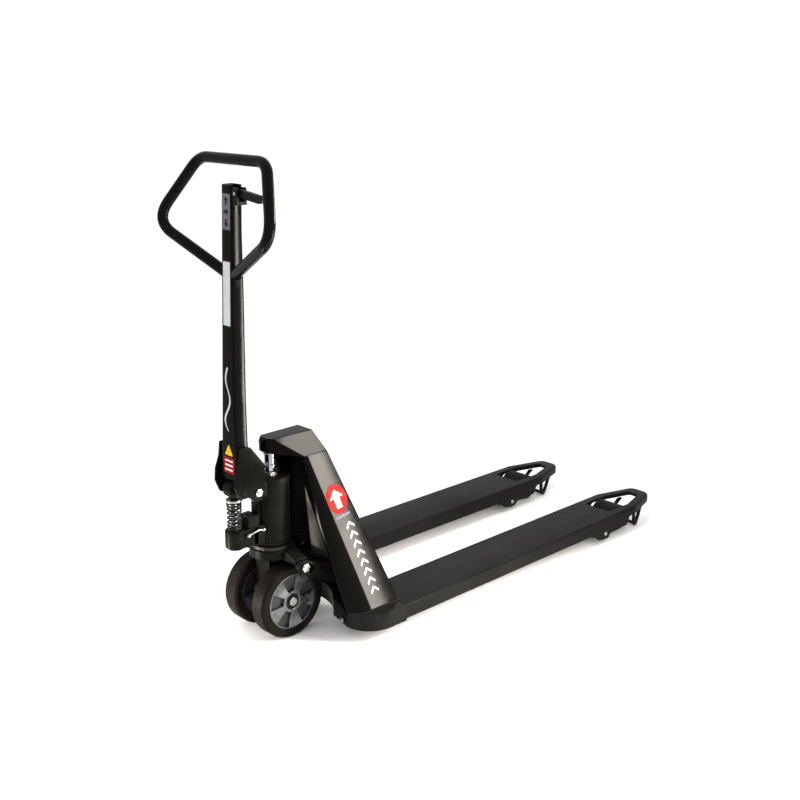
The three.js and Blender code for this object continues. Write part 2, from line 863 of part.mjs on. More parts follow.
function tillerTube() {
  const wall = 3;
  const outside = loft(TILLER_LEVELS.map((level) => tillerSection(level, 0)));
  const inside = TILLER_LEVELS.map((level) => tillerSection(level, wall));
  inside[0].z -= 1;
  inside[inside.length - 1].z += 1;
  const leverSlot = block([-92, -76], [-30, -12], [1128, 1170]);
  return cut(outside, loft(inside), leverSlot);
}

function tillerBracket(side) {
  const outline = [
    [-121, 536],
    [-90, 532],
    [-50, 480],
    [-46, 440],
    [-57, 386],
    [-83, 386],
    [-100, 402],
    [-126, 402],
    [-140, 436],
    [-137, 468],
    [-125, 500],
  ];
  return cut(
    plateY(outline, side * 38, side * 45),
    crossRod(TILLER_PIVOT.radius + GAP, TILLER_PIVOT, side * 30, side * 50),
    crossRod(7 + GAP, ROLLER, side * 30, side * 50),
  );
}

const tillerRoller = () => turnedY(ringProfile(7 + GAP, ROLLER.radius, -16, 16), ROLLER, 1);
const rollerPin = () => crossRod(7, ROLLER, -47, 47);

// The closed hand loop: from the tube's sides out to the knuckles, up and across the top.
function handleLoop() {
  const corners = [
    [-92.8, 10, 953.3],
    [-150.3, 233.4, 1067.8],
    [-79.5, 132.5, 1225],
  ].map((p) => new THREE.Vector3(...p));
  const mirror = (v) => new THREE.Vector3(v.x, -v.y, v.z);
  const route = [...corners, ...corners.map(mirror).reverse()];
  const radii = [0, 62, 34, 34, 62, 0];
  const path = new THREE.CurvePath();
  let from = route[0];
  for (let i = 1; i < route.length - 1; i++) {
    const toward = (other) => other.clone().sub(route[i]).normalize().multiplyScalar(radii[i]).add(route[i]);
    const enter = toward(route[i - 1]);
    const leave = toward(route[i + 1]);
    path.add(new THREE.LineCurve3(from, enter));
    path.add(new THREE.QuadraticBezierCurve3(enter, route[i], leave));
    from = leave;
  }
  path.add(new THREE.LineCurve3(from, route[route.length - 1]));
  return cut(tube(path, 13.5, 56, 8), block([-130, -50], [-23.4, 23.4], [930, 1000]));
}

function leverBracket() {
  const { y, z } = LEVER_PIVOT;
  return cut(
    join(
      block([-98, -70], [-40, -21.9], [1122, 1130]),
      block([-98, -93], [-40, -21.9], [1122, 1162]),
      block([-75, -70], [-40, -21.9], [1122, 1162]),
    ),
    rod(LEVER_PIVOT.radius + GAP, [-110, y, z], [-60, y, z], 12),
  );
}

function leverPin() {
  const { y, z, radius } = LEVER_PIVOT;
  return rod(radius, [-101, y, z], [-67, y, z], 12);
}

function controlLever() {
  const { y, z } = LEVER_PIVOT;
  const outline = [
    [-8, z + 4],
    [-8, z - 4],
    [y + 8, z - 4],
    [y - 4, z - 10],
    [-112, 1131],
    [-120, 1133],
    [-122, 1142],
    [-116, 1148],
    [y - 8, z + 9],
    [y + 4, z + 8],
    [y + 10, z + 4],
  ];
  return cut(
    plateX(outline, -90, -78),
    rod(LEVER_PIVOT.radius + GAP, [-100, y, z], [-60, y, z], 12),
  );
}

// Runs down inside the tube, which it leans with.
function controlRod() {
  return rod(4, [-84.6, -12, 1144.3], [-105.6, -12, 480], 10);
}

// ---- Assembly ----

const truck = new THREE.Group();

function piece(name, body, material) {
  const mesh = new THREE.Mesh(geometryOf(body), material);
  mesh.geometry.computeVertexNormals();
  mesh.name = name;
  truck.add(mesh);
}

for (const [name, side] of Object.entries(SIDES)) {
  piece(`fork_${name}`, fork(side), SATIN_BLACK);
  piece(`entry_skid_${name}`, entrySkid(side), SATIN_BLACK);
  piece(`leg_${name}`, leg(side), GLOSS_BLACK);
  piece(`wheel_frame_${name}`, wheelFrame(side), SATIN_BLACK);
  piece(`wheel_frame_shaft_${name}`, frameShaft(side), ZINC);
  piece(`load_axle_${name}`, loadAxle(side), ZINC);
  piece(`load_wheel_core_${name}`, loadWheelCore(side), STEEL);
  piece(`load_wheel_tyre_${name}`, loadWheelTyre(side), TYRE);
  piece(`push_pin_${name}`, pushPin(side), ZINC);
  piece(`push_rod_${name}`, pushRod(side), SATIN_BLACK);
  piece(`trunnion_pin_${name}`, trunnionPin(side), ZINC);
  piece(`steer_hub_${name}`, steerHub(side), ALUMINIUM);
  piece(`steer_tyre_${name}`, steerTyre(side), TYRE);
  piece(`outer_bearing_${name}`, steerBearing(side, 69.3, 80), STEEL);
  piece(`inner_bearing_${name}`, steerBearing(side, 36, 45.7), STEEL);
  piece(`tiller_bracket_${name}`, tillerBracket(side), GLOSS_BLACK);
}
piece("base", base(), SATIN_BLACK);
piece("front_plate", frontPlate(), GLOSS_BLACK);
piece("head_hood", hood(), GLOSS_BLACK);
piece("ram_seat", ramSeat(), STEEL);
piece("rocker_shaft", rockerShaft(), STEEL);
piece("rocker", rocker(), SATIN_BLACK);
piece("thrust_collar", thrustCollar(), CASTING);
piece("thrust_bearing", thrustBearing(), STEEL);
piece("lift_ram", liftRam(), CHROME);
piece("pump_reservoir", reservoir(), CASTING);
piece("gland_nut", glandNut(), ZINC);
piece("filler_plug", fillerPlug(), ZINC);
piece("pump_base", pumpBase(), CASTING);
piece("valve_arm", valveArm(), ZINC);
piece("steer_axle", steerAxle(), STEEL);
piece("tiller_mount", tillerMount(), CASTING);
piece("tiller_pivot_pin", tillerPivotPin(), ZINC);
piece("plunger", plunger(), CHROME);
piece("spring_cap", springCap(), ZINC);
piece("pump_spring", pumpSpring(), ZINC);
piece("tiller_tube", tillerTube(), GLOSS_BLACK);
piece("tiller_roller", tillerRoller(), STEEL);
piece("roller_pin", rollerPin(), ZINC);
piece("handle_loop", handleLoop(), PLASTIC);
piece("lever_bracket", leverBracket(), PLASTIC);
piece("lever_pin", leverPin(), ZINC);
piece("control_lever", controlLever(), PLASTIC);
piece("control_rod", controlRod(), STEEL);

truck.position.x = -TRUCK_MIDDLE_X;

export default truck;
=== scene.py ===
"""Looks of the hand pallet truck: detailed pieces, materials, floor, light and camera round the CAD frame."""
import math

import bmesh
import bpy
from mathutils import Matrix, Vector


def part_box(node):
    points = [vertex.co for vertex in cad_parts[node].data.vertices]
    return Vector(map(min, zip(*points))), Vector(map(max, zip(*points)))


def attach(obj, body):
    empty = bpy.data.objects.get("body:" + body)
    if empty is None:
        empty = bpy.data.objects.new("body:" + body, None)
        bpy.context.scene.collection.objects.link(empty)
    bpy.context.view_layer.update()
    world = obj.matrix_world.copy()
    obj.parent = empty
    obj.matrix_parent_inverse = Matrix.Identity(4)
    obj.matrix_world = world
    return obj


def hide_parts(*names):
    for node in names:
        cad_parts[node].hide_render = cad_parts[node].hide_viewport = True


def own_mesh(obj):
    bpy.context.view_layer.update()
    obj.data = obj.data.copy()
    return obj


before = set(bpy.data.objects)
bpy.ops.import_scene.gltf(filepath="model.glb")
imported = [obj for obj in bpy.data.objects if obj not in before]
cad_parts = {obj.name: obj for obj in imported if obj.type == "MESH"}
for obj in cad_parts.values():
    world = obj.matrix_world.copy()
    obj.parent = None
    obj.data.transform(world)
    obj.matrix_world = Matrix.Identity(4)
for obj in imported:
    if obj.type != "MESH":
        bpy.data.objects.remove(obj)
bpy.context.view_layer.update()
scene = bpy.context.scene

# ---- Driving sizes, in millimetres from the steering axis; most repeat the CAD model's own ----

MM = 0.001
FORK = {
    "half": 77.5, "sheet": 4.0, "top": 82.0, "bend": 8.0,
    "taper_x": 1245.0, "tip_x": 1376.0, "tip_half": 37.0, "nose": 16.0, "nose_drop": 14.0,
}
WHEEL_WINDOW = {"half": 47.5, "rear": 1145.0, "front": 1337.0, "nose_half": 20}
LEG_PLATE = 5.0
LEG_FOOT = {
    "z": 82.3, "outer": 235.0, "front": 232.0, "rear": 60.0, "bend": 80.0, "wrap": 50.0, "flange": 2.0,
}
LEG_HEAD = {
    "z": 483.7, "outer": 80.0, "front": 125.0, "rear": 49.0, "bend": 12.0, "wrap": 90.0, "flange": 30.0,
}
HOOD = [
    (118, 29, 530), (-8, 25, 530), (-16, 12, 530), (-22, 14, 522), (-26, 3, 522), (-10, 27, 509),
    (-22, 14, 496), (-26, 3, 496), (-10, 24, 490), (-16, 12, 490), (49, 80, 484), (125, 80, 484),
]
BASE = {"bottom": 35.0, "bay": 157.0, "corner": 80.0, "corner_at": (170.0, 190.0), "front": 228.0}
RESERVOIR = {"radius": 50, "bottom": 258}
TILLER_PIN = {"x": -70, "z": 408, "hole": 8.3}
ROLLER_PIN = {"x": -115, "z": 417, "hole": 7.3}
BARREL_X = -115
SPRING = {"low": 308.5, "high": 383.6, "wire": 2.7, "coil": 17.0, "turns": 7.5, "crowding": 0.055}
LOOP_ATTACH = (-92.8, 12, 954.3)
LOOP_WIDEST = (-150.3, 233.4, 1067.8)
LOOP_TOP = (-79.5, 132.5, 1225)
LEVER_PIN = {"y": -32, "z": 1149}
WHEEL_Z = 100.0
HUB = {"outer": 81.0, "inner": 35.0, "boss": 29.0, "rim": 71.0, "pocket": 10.0, "dish": 1.6}
SPOKES = 5
SPOKE_TURN = math.radians(29)
SIDES = {"left": 1, "right": -1}


def middle(node):
    low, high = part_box(node)
    return (Vector(low) + Vector(high)) / 2


STEER_X = middle("lift_ram").x
FORK_Y = abs(middle("fork_left").y) / MM


def place(x, y, z):
    """A point given in millimetres from the steering axis, in the frame's metres."""
    return Vector((STEER_X + x * MM, y * MM, z * MM))


def mm_box(node):
    """A CAD node's box in millimetres from the steering axis: (low, high)."""
    low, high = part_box(node)
    shift = Vector((STEER_X, 0, 0))
    return (Vector(low) - shift) / MM, (Vector(high) - shift) / MM


# ---- Materials ----


class Finish:
    """A procedural material: colour that varies, roughness that varies, and fine bumps."""

    def __init__(self, name, color, roughness, metallic=0.0):
        self.name = name
        self.material = bpy.data.materials.new(name)
        self.material.use_nodes = True
        self.nodes = self.material.node_tree.nodes
        self.links = self.material.node_tree.links
        self.shader = self.nodes["Principled BSDF"]
        self.color = (*color, 1.0)
        self.shader.inputs["Base Color"].default_value = self.color
        self.shader.inputs["Roughness"].default_value = roughness
        self.shader.inputs["Metallic"].default_value = metallic
        self.roughness = roughness
        self.coordinates = self.nodes.new("ShaderNodeTexCoord").outputs["Object"]
        self.height = None

    def set(self, **sockets):
        for socket, value in sockets.items():
            self.shader.inputs[socket.replace("_", " ")].default_value = value
        return self

    def noise(self, scale, stretch=(1, 1, 1), detail=4.0):
        source = self.coordinates
        if stretch != (1, 1, 1):
            mapping = self.nodes.new("ShaderNodeMapping")
            mapping.inputs["Scale"].default_value = stretch
            self.links.new(source, mapping.inputs["Vector"])
            source = mapping.outputs["Vector"]
        node = self.nodes.new("ShaderNodeTexNoise")
        node.inputs["Scale"].default_value = scale
        node.inputs["Detail"].default_value = detail
        self.links.new(source, node.inputs["Vector"])
        return node.outputs["Fac"]

    def ramp(self, source, low, high, start=0.35, end=0.65):
        """A number that runs from low to high as source runs from start to end."""
        node = self.nodes.new("ShaderNodeMapRange")
        node.inputs["From Min"].default_value = start
        node.inputs["From Max"].default_value = end
        node.inputs["To Min"].default_value = low
        node.inputs["To Max"].default_value = high
        self.links.new(source, node.inputs["Value"])
        return node.outputs["Result"]

    def blend(self, factor, other):
        """Mixes another colour over what feeds the base colour so far."""
        node = self.nodes.new("ShaderNodeMix")
        node.data_type = "RGBA"
        self.links.new(factor, node.inputs["Factor"])
        base = self.shader.inputs["Base Color"]
        if base.is_linked:
            self.links.new(base.links[0].from_socket, node.inputs["A"])
        else:
            node.inputs["A"].default_value = self.color
        node.inputs["B"].default_value = (*other, 1.0)
        self.links.new(node.outputs["Result"], base)
        return self

    def mottle(self, other, scale, amount=1.0):
        """Mixes another colour in, in patches."""
        return self.blend(self.ramp(self.noise(scale), 0.0, amount, 0.35, 0.7), other)

    def patchy_gloss(self, scale, spread, stretch=(1, 1, 1)):
        patches = self.noise(scale, stretch)
        rough = self.ramp(patches, self.roughness - spread, self.roughness + spread)
        self.links.new(rough, self.shader.inputs["Roughness"])
        return self

    def bumps(self, scale, depth_mm):
        node = self.nodes.new("ShaderNodeBump")
        node.inputs["Distance"].default_value = depth_mm * MM
        node.inputs["Strength"].default_value = 1.0
        self.links.new(self.noise(scale), node.inputs["Height"])
        if self.height is not None:
            self.links.new(self.height, node.inputs["Normal"])
        self.height = node.outputs["Normal"]
        self.links.new(self.height, self.shader.inputs["Normal"])
        return self

    def worn_edges(self, color, amount):
        """Paint rubbed through where the surface is sharply convex."""
        point = self.nodes.new("ShaderNodeNewGeometry").outputs["Pointiness"]
        scuff = self.ramp(self.noise(60, detail=6.0), -0.02, 0.03, 0.3, 0.7)
        raised = self.nodes.new("ShaderNodeMath")
        raised.operation = "ADD"
        self.links.new(point, raised.inputs[0])
        self.links.new(scuff, raised.inputs[1])
        return self.blend(self.ramp(raised.outputs[0], 0.0, amount, 0.56, 0.66), color)


def paints():
    """Paints, coatings and the rough black casting, and a pale grey of painted light."""
    return [
        Finish("gloss_black_paint", (0.002, 0.0019, 0.0016), 0.11)
        .mottle((0.004, 0.0036, 0.003), 9, 0.8)
        .patchy_gloss(14, 0.03)
        .bumps(420, 0.02)
        .bumps(22, 0.08)
        .worn_edges((0.02, 0.02, 0.02), 0.35)
        .set(Specular_IOR_Level=0.04),
        Finish("satin_black_paint", (0.0045, 0.0044, 0.0042), 0.42)
        .mottle((0.008, 0.008, 0.0078), 6, 0.8)
        .patchy_gloss(10, 0.06, stretch=(0.35, 1, 1))
        .bumps(700, 0.03)
        .bumps(30, 0.1)
        .worn_edges((0.05, 0.05, 0.05), 0.4)
        .set(Specular_IOR_Level=0.045),
        # Pale grey of painted light: stands in for the lit rear of the black front plate (make_center_panel).
        Finish("painted_light_grey", (0.2, 0.18, 0.155), 0.4)
        .mottle((0.14, 0.127, 0.11), 12, 0.8)
        .patchy_gloss(20, 0.08)
        .bumps(300, 0.05),
        Finish("loop_coating", (0.002, 0.0018, 0.0014), 0.2)
        .mottle((0.004, 0.0036, 0.003), 30, 0.7)
        .patchy_gloss(25, 0.06)
        .bumps(500, 0.03)
        .set(Specular_IOR_Level=0.06),
        Finish("casting", (0.004, 0.004, 0.0034), 0.4)
        .mottle((0.01, 0.0096, 0.008), 25, 0.8)
        .patchy_gloss(30, 0.08)
        .bumps(260, 0.2)
        .bumps(60, 0.2)
        .set(Specular_IOR_Level=0.035),
    ]


def metals():
    """Plated, bare and cast metals."""
    return [
        Finish("zinc_plate", (0.42, 0.42, 0.39), 0.3, 1.0)
        .mottle((0.28, 0.28, 0.25), 90, 0.7)
        .patchy_gloss(120, 0.1)
        .bumps(900, 0.02),
        Finish("spring_steel", (0.016, 0.015, 0.013), 0.36, 0.9)
        .mottle((0.035, 0.033, 0.03), 70, 0.8)
        .patchy_gloss(200, 0.08),
        Finish("bright_steel", (0.36, 0.36, 0.36), 0.32, 1.0)
        .mottle((0.24, 0.235, 0.23), 80, 0.6)
        .patchy_gloss(150, 0.08)
        .bumps(600, 0.02),
        Finish("dark_steel", (0.03, 0.028, 0.025), 0.42, 0.9)
        .mottle((0.014, 0.013, 0.012), 60, 0.8)
        .patchy_gloss(120, 0.1)
        .bumps(500, 0.03),
        Finish("chrome_plate", (0.42, 0.45, 0.49), 0.09, 1.0)
        .mottle((0.34, 0.37, 0.41), 60, 0.4)
        .patchy_gloss(180, 0.03, stretch=(1, 1, 0.15)),
        Finish("hub_aluminium", (0.17, 0.178, 0.185), 0.34, 1.0)
        .mottle((0.115, 0.12, 0.125), 45, 0.8)
        .patchy_gloss(70, 0.1)
        .bumps(330, 0.1),
        Finish("hub_recess", (0.05, 0.052, 0.057), 0.5, 0.8)
        .mottle((0.03, 0.031, 0.034), 60, 0.8)
        .patchy_gloss(80, 0.1)
        .bumps(260, 0.25),
    ]


def rubbers_and_plastics():
    """Tyres, seals and moulded pieces."""
    return [
        Finish("wheel_tyre", (0.0045, 0.0037, 0.003), 0.5)
        .mottle((0.011, 0.009, 0.0075), 18, 0.8)
        .patchy_gloss(40, 0.08)
        .bumps(300, 0.1)
        .bumps(40, 0.2)
        .set(Specular_IOR_Level=0.05),
        Finish("black_plastic", (0.003, 0.0029, 0.0027), 0.4)
        .mottle((0.007, 0.0068, 0.0064), 70, 0.8)
        .patchy_gloss(60, 0.08)
        .bumps(900, 0.06)
        .set(Specular_IOR_Level=0.08),
        Finish("seal_rubber", (0.006, 0.008, 0.007), 0.6)
        .mottle((0.012, 0.014, 0.013), 80)
        .bumps(500, 0.05)
        .set(Specular_IOR_Level=0.2),
    ]


def label(name, color, other):
    """Printed film: faintly uneven ink under a soft gloss."""
    film = Finish(name, color, 0.45).mottle(other, 55, 0.5).patchy_gloss(80, 0.08).bumps(350, 0.02)
    return film.set(Specular_IOR_Level=0.06)


def labels():
    """Printed films, each with its ink and the faint shade that mottles it."""
    inks = {
        "white": ((0.55, 0.56, 0.57), (0.42, 0.43, 0.44)),
        "grey": ((0.13, 0.135, 0.15), (0.1, 0.105, 0.115)),
        "red": ((0.22, 0.006, 0.005), (0.17, 0.005, 0.004)),
        "yellow": ((0.55, 0.38, 0.012), (0.45, 0.3, 0.01)),
        "black": ((0.012, 0.012, 0.012), (0.02, 0.02, 0.02)),
    }
    return [label(f"label_{name}", *colors) for name, colors in inks.items()]


MATERIALS = {
    finish.name: finish.material
    for finish in (*paints(), *metals(), *rubbers_and_plastics(), *labels())
}


# ---- Piece making ----


def finish_piece(bm, name, *tags, **finish):
    """Turns a bmesh into a piece. The tags and the finish are those of finish_mesh."""
    bmesh.ops.recalc_face_normals(bm, faces=bm.faces)
    mesh = bpy.data.meshes.new(name)
    bm.to_mesh(mesh)
    bm.free()
    return finish_mesh(mesh, name, *tags, **finish)


def finish_mesh(mesh, name, body, slot, replaces=(), material=None, bevel=0.0, segments=3, sharp=35):
    """Makes a piece that rides on a body, with its finish and, if asked, rounded edges in mm."""
    mesh.materials.clear()
    mesh.materials.append(MATERIALS[material or slot])
    obj = bpy.data.objects.new(name, mesh)
    scene.collection.objects.link(obj)
    round_edges(obj, bevel, segments, sharp)
    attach(obj, body)
    if replaces:
        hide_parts(*([replaces] if isinstance(replaces, str) else replaces))
    return obj


def soften(node, body, slot, bevel=1.0, segments=2, material=None):
    """Where a CAD node's own shape is right, a copy stands for it, with a finish and rounded edges."""
    bm = bmesh.new()
    bm.from_mesh(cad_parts[node].data)
    bmesh.ops.remove_doubles(bm, verts=bm.verts, dist=0.01 * MM)
    rounding = {"bevel": bevel, "segments": segments}
    return finish_piece(bm, f"{node}_rounded", body, slot, node, material, **rounding)


def round_edges(obj, bevel, segments, sharp=35):
    obj.data.shade_smooth()
    obj.data.set_sharp_from_angle(angle=math.radians(sharp))
    if bevel:
        modifier = obj.modifiers.new("rounded", "BEVEL")
        modifier.width = bevel * MM
        modifier.segments = segments
        modifier.limit_method = "ANGLE"
        modifier.angle_limit = math.radians(sharp)
        modifier.harden_normals = True


def rectangle(x0, x1, y0, y1):
    return [(x0, y0), (x1, y0), (x1, y1), (x0, y1)]


def span(side, near, far):
    """A stretch along Y on one side of the truck, low end first."""
    return sorted((side * near, side * far))


def add_ring(bm, points):
    return [bm.verts.new(p) for p in points]


def bridge(bm, a, b):
    """Quads between two closed rings of as many vertices."""
    for i in range(len(a)):
        j = (i + 1) % len(a)
        bm.faces.new((a[i], a[j], b[j], b[i]))


def loft(bm, rings, capped=True):
    """Skin through rings of points, with flat ends."""
    made = [add_ring(bm, ring) for ring in rings]
    for a, b in zip(made, made[1:]):
        bridge(bm, a, b)
    if capped:
        bm.faces.new(list(reversed(made[0])))
        bm.faces.new(made[-1])
    return made


def arc(center, radius, start, end, steps):
    """Points on an arc, angles in degrees."""
    angles = [math.radians(start + (end - start) * i / steps) for i in range(steps + 1)]
    return [(center[0] + radius * math.cos(a), center[1] + radius * math.sin(a)) for a in angles]


def fillet(points, radius, steps=6):
    """A closed outline with its corners rounded; radius is one number, or one for each corner."""
    radii = radius if isinstance(radius, (list, tuple)) else [radius] * len(points)
    corners = [Vector(p) for p in points]
    result = []
    for i, corner in enumerate(corners):
        if radii[i] <= 0:
            result.append(tuple(corner))
            continue
        before = corners[i - 1] - corner
        after = corners[(i + 1) % len(corners)] - corner
        turn = before.angle(after)
        reach = min(radii[i] / math.tan(turn / 2), 0.48 * before.length, 0.48 * after.length)
        start = corner + before.normalized() * reach
        end = corner + after.normalized() * reach
        for k in range(steps + 1):
            t = k / steps
            result.append(tuple(start.lerp(corner, t).lerp(corner.lerp(end, t), t)))
    return result


def turned(bm, profile, origin, axis="y", segments=64, side=1):
    """A closed profile of (radius, height) turned about an axis through origin; side mirrors the heights."""
    rings = []
    for radius, height in profile:
        ring = []
        for i in range(segments):
            angle = 2 * math.pi * i / segments
            c = radius * math.cos(angle)
            s = radius * math.sin(angle)
            up = side * height
            offset = {"x": (up, c, s), "y": (s, up, c), "z": (c, s, up)}[axis]
            ring.append(place(*(a + b for a, b in zip(origin, offset))))
        rings.append([bm.verts.new(ring[0])] * segments if radius < 1e-6 else add_ring(bm, ring))
    for a, b in zip(rings, rings[1:] + rings[:1]):
        for i in range(segments):
            j = (i + 1) % segments
            corners = list(dict.fromkeys((a[i], a[j], b[j], b[i])))
            if len(corners) > 2:
                bm.faces.new(corners)


def solid_profile(radius, low, high, edge=1.0):
    """Profile of a plain turned bar with chamfered ends."""
    return [
        (0, low), (radius - edge, low), (radius, low + edge),
        (radius, high - edge), (radius - edge, high), (0, high),
    ]


def ring_profile(inner, outer, low, high, edge=0.6):
    return fillet(rectangle(inner, outer, low, high), edge, 3)


def prism(bm, outline, low, high, axis="y"):
    """A flat outline pushed from low to high: (x, z) along y, (x, y) along z, or (y, z) along x."""
    def at(point, depth):
        a, b = point
        return place(*{"x": (depth, a, b), "y": (a, depth, b), "z": (a, b, depth)}[axis])
    loft(bm, [[at(p, low) for p in outline], [at(p, high) for p in outline]])


def hexagon(center, size):
    return arc(center, size, 0, 300, 5)


def circle(center, across, other, radius, count):
    """Points round a center Vector, in the plane of two directions, with the radius in mm."""
    angles = [2 * math.pi * i / count for i in range(count)]
    return [center + (across * math.cos(a) + other * math.sin(a)) * radius * MM for a in angles]


def sweep(bm, path, radius, sides):
    """A round bar along a path of Vectors in metres, with flat ends."""
    last = len(path) - 1
    tangents = [(path[min(i + 1, last)] - path[max(i - 1, 0)]).normalized() for i in range(last + 1)]
    normal = tangents[0].orthogonal().normalized()
    rings = []
    for point, tangent in zip(path, tangents):
        normal = (normal - tangent * normal.dot(tangent)).normalized()
        rings.append(circle(point, normal, tangent.cross(normal), radius, sides))
    loft(bm, rings)


def rounded_route(corners, radii, steps=14):
    """Points along a route of Vectors whose corners are rounded."""
    route = [corners[0]]
    for i in range(1, len(corners) - 1):
        before = (corners[i - 1] - corners[i]).normalized()
        after = (corners[i + 1] - corners[i]).normalized()
        start = corners[i] + before * radii[i] * MM
        end = corners[i] + after * radii[i] * MM
        for k in range(steps + 1):
            t = k / steps
            route.append(start.lerp(corners[i], t).lerp(corners[i].lerp(end, t), t))
    route.append(corners[-1])
    return route


def cut_mesh(bm, cutters):
    """The bmesh's shape with closed cutter bmeshes taken away, as a mesh."""
    def to_object(source, name):
        bmesh.ops.recalc_face_normals(source, faces=source.faces)
        mesh = bpy.data.meshes.new(name)
        source.to_mesh(mesh)
        source.free()
        obj = bpy.data.objects.new(name, mesh)
        scene.collection.objects.link(obj)
        return obj
    body = to_object(bm, "cut_body")
    tools = [to_object(tool, "cutter") for tool in cutters]
    for tool in tools:
        modifier = body.modifiers.new("cut", "BOOLEAN")
        modifier.operation = "DIFFERENCE"
        modifier.solver = "EXACT"
        modifier.object = tool
    bpy.context.view_layer.update()
    result = bpy.data.meshes.new_from_object(body.evaluated_get(bpy.context.evaluated_depsgraph_get()))
    for obj in [body, *tools]:
        bpy.data.objects.remove(obj)
    return result


def turned_piece(name, body, slot, profile, origin, axis="y", steps=64, side=1, **finish):
    """A piece that is one turned shape."""
    bm = bmesh.new()
    turned(bm, profile, origin, axis, steps, side)
    return finish_piece(bm, name, body, slot, **finish)


def cutter_prism(outline, low, high, axis):
    bm = bmesh.new()
    prism(bm, outline, low, high, axis)
    return bm


def cutter_bar(origin, radius, low, high, axis="y", segments=40):
    bm = bmesh.new()
    turned(bm, [(0, low), (radius, low), (radius, high), (0, high)], origin, axis, segments)
    return bm


def pin_bore(pin):
    """A cutter for a cross pin's hole, through everything from side to side."""
    return cutter_bar((pin["x"], 0, pin["z"]), pin["hole"], -60, 60)


# ---- Forks ----


def flange_bottom(x):
    """Height of a fork flange's lower edge, which dips in a lobe round the wheel frame's shaft."""
    corners = [
        (228, 41), (1010, 41), (1034, 33), (1062, 17), (1080, 14),
        (1104, 14), (1118, 27), (1200, 30), (1218, 57), (1376, 57),
    ]
    for (x0, z0), (x1, z1) in zip(corners, corners[1:]):
        if x <= x1:
            t = (x - x0) / (x1 - x0)
            smooth = t * t * (3 - 2 * t)
            return z0 + (z1 - z0) * smooth
    return corners[-1][1]


def fork_half(x):
    """Half a fork's width at x: parallel, then tapered, then rounded off at the nose."""
    slope = (FORK["half"] - FORK["tip_half"]) / (FORK["tip_x"] - FORK["taper_x"])
    half = FORK["half"] - slope * max(0.0, x - FORK["taper_x"])
    into = max(0.0, x - (FORK["tip_x"] - FORK["nose"])) / FORK["nose"]
    return half - FORK["nose_drop"] * (1 - math.sqrt(max(0.0, 1 - into * into)))


def fork_section(x, side):
    half = fork_half(x)
    bottom = flange_bottom(x)
    sheet, top = FORK["sheet"], FORK["top"]
    bend = FORK["bend"]
    inner = bend - sheet
    outline = [(-half, bottom)]
    outline += arc((-half + bend, top - bend), bend, 180, 90, 6)
    outline += arc((half - bend, top - bend), bend, 90, 0, 6)
    outline += [(half, bottom), (half - sheet, bottom)]
    outline += arc((half - bend, top - bend), inner, 0, 90, 4)
    outline += arc((-half + bend, top - bend), inner, 90, 180, 4)
    outline += [(-half + sheet, bottom)]
    return [place(x, side * FORK_Y + y, z) for y, z in outline]


def wheel_window(side):
    half, rear, front, nose_half = WHEEL_WINDOW.values()
    outline = [
        (rear, -half), (FORK["taper_x"], -half), (front, -nose_half),
        (front, nose_half), (FORK["taper_x"], half), (rear, half),
    ]
    rounded = fillet(outline, [12, 60, 14, 14, 60, 12], 6)
    return [(x, side * FORK_Y + y) for x, y in rounded]


def fork_stations():
    plain = [mm_box("fork_left")[0].x, 400, 600, 800, 1000]
    lobes = [1010 + 6 * i for i in range(36)]
    taper = [1232, 1245, 1262, 1290, 1320, 1345, 1358, 1364, 1368, 1371.5, 1374, 1375.5]
    return plain + lobes + taper


def make_fork(name, side):
    bm = bmesh.new()
    loft(bm, [fork_section(x, side) for x in fork_stations()])
    mesh = cut_mesh(bm, [
        cutter_prism(wheel_window(side), 70, 90, "z"),
        cutter_bar((1093, side * FORK_Y, 30), 7.6, -90, 90),
    ])
    shell = f"fork_shell_{name}"
    finish_mesh(mesh, shell, "chassis", "satin_black_paint", f"fork_{name}", bevel=0.8, segments=2)
    bm = bmesh.new()
    nose = fillet([(-31, 58), (31, 58), (33, 76), (-33, 76)], 4, 4)
    prism(bm, [(side * FORK_Y + y, z) for y, z in nose], 1367.5, 1371, "x")
    finish_piece(bm, f"fork_nose_{name}", "chassis", "satin_black_paint", bevel=0.8)


# ---- Chassis ----


def base_outline(inset):
    corner = BASE["corner"] - inset
    one_side = arc((0, 0), BASE["bay"] + inset, 0, 46, 30)[1:]
    one_side += arc(BASE["corner_at"], corner, 180, 90, 24)
    one_side += [(BASE["front"], FORK_Y + FORK["half"] - inset)]
    return fillet(one_side + [(x, -y) for x, y in reversed(one_side)], 0.01, 1)


def make_base():
    bm = bmesh.new()
    prism(bm, base_outline(0), BASE["bottom"], FORK["top"], "z")
    cutters = [cutter_prism(base_outline(5), BASE["bottom"] - 5, FORK["top"] - 5, "z")]
    for side in SIDES.values():
        arm_slot = fillet(rectangle(138, 222, *span(side, 177, 208)), 8)
        cutters.append(cutter_prism(arm_slot, 60, 90, "z"))
        cutters.append(cutter_prism(rectangle(215, 240, *span(side, 119, 266)), 30, 77, "z"))
    mesh = cut_mesh(bm, cutters)
    finish_mesh(mesh, "base_pressing", "chassis", "gloss_black_paint", "base", bevel=3.0, segments=4)


def leg_plan(plan):
    """Plan points of a leg at one end: the flat outer side, the bend, the short flange, and back inside."""
    center = (plan["rear"] + plan["bend"], plan["outer"] - plan["bend"])
    end = 90 + plan["wrap"]
    inwards = math.radians(end + 90)
    reach = (plan["flange"] * math.cos(inwards), plan["flange"] * math.sin(inwards))
    outside = arc(center, plan["bend"], 90, end, 20)
    inside = arc(center, plan["bend"] - LEG_PLATE, end, 90, 20)
    ends = [(x + reach[0], y + reach[1]) for x, y in (outside[-1], inside[0])]
    front, outer = plan["front"], plan["outer"]
    return [(front, outer), *outside, *ends, *inside, (front, outer - LEG_PLATE)]


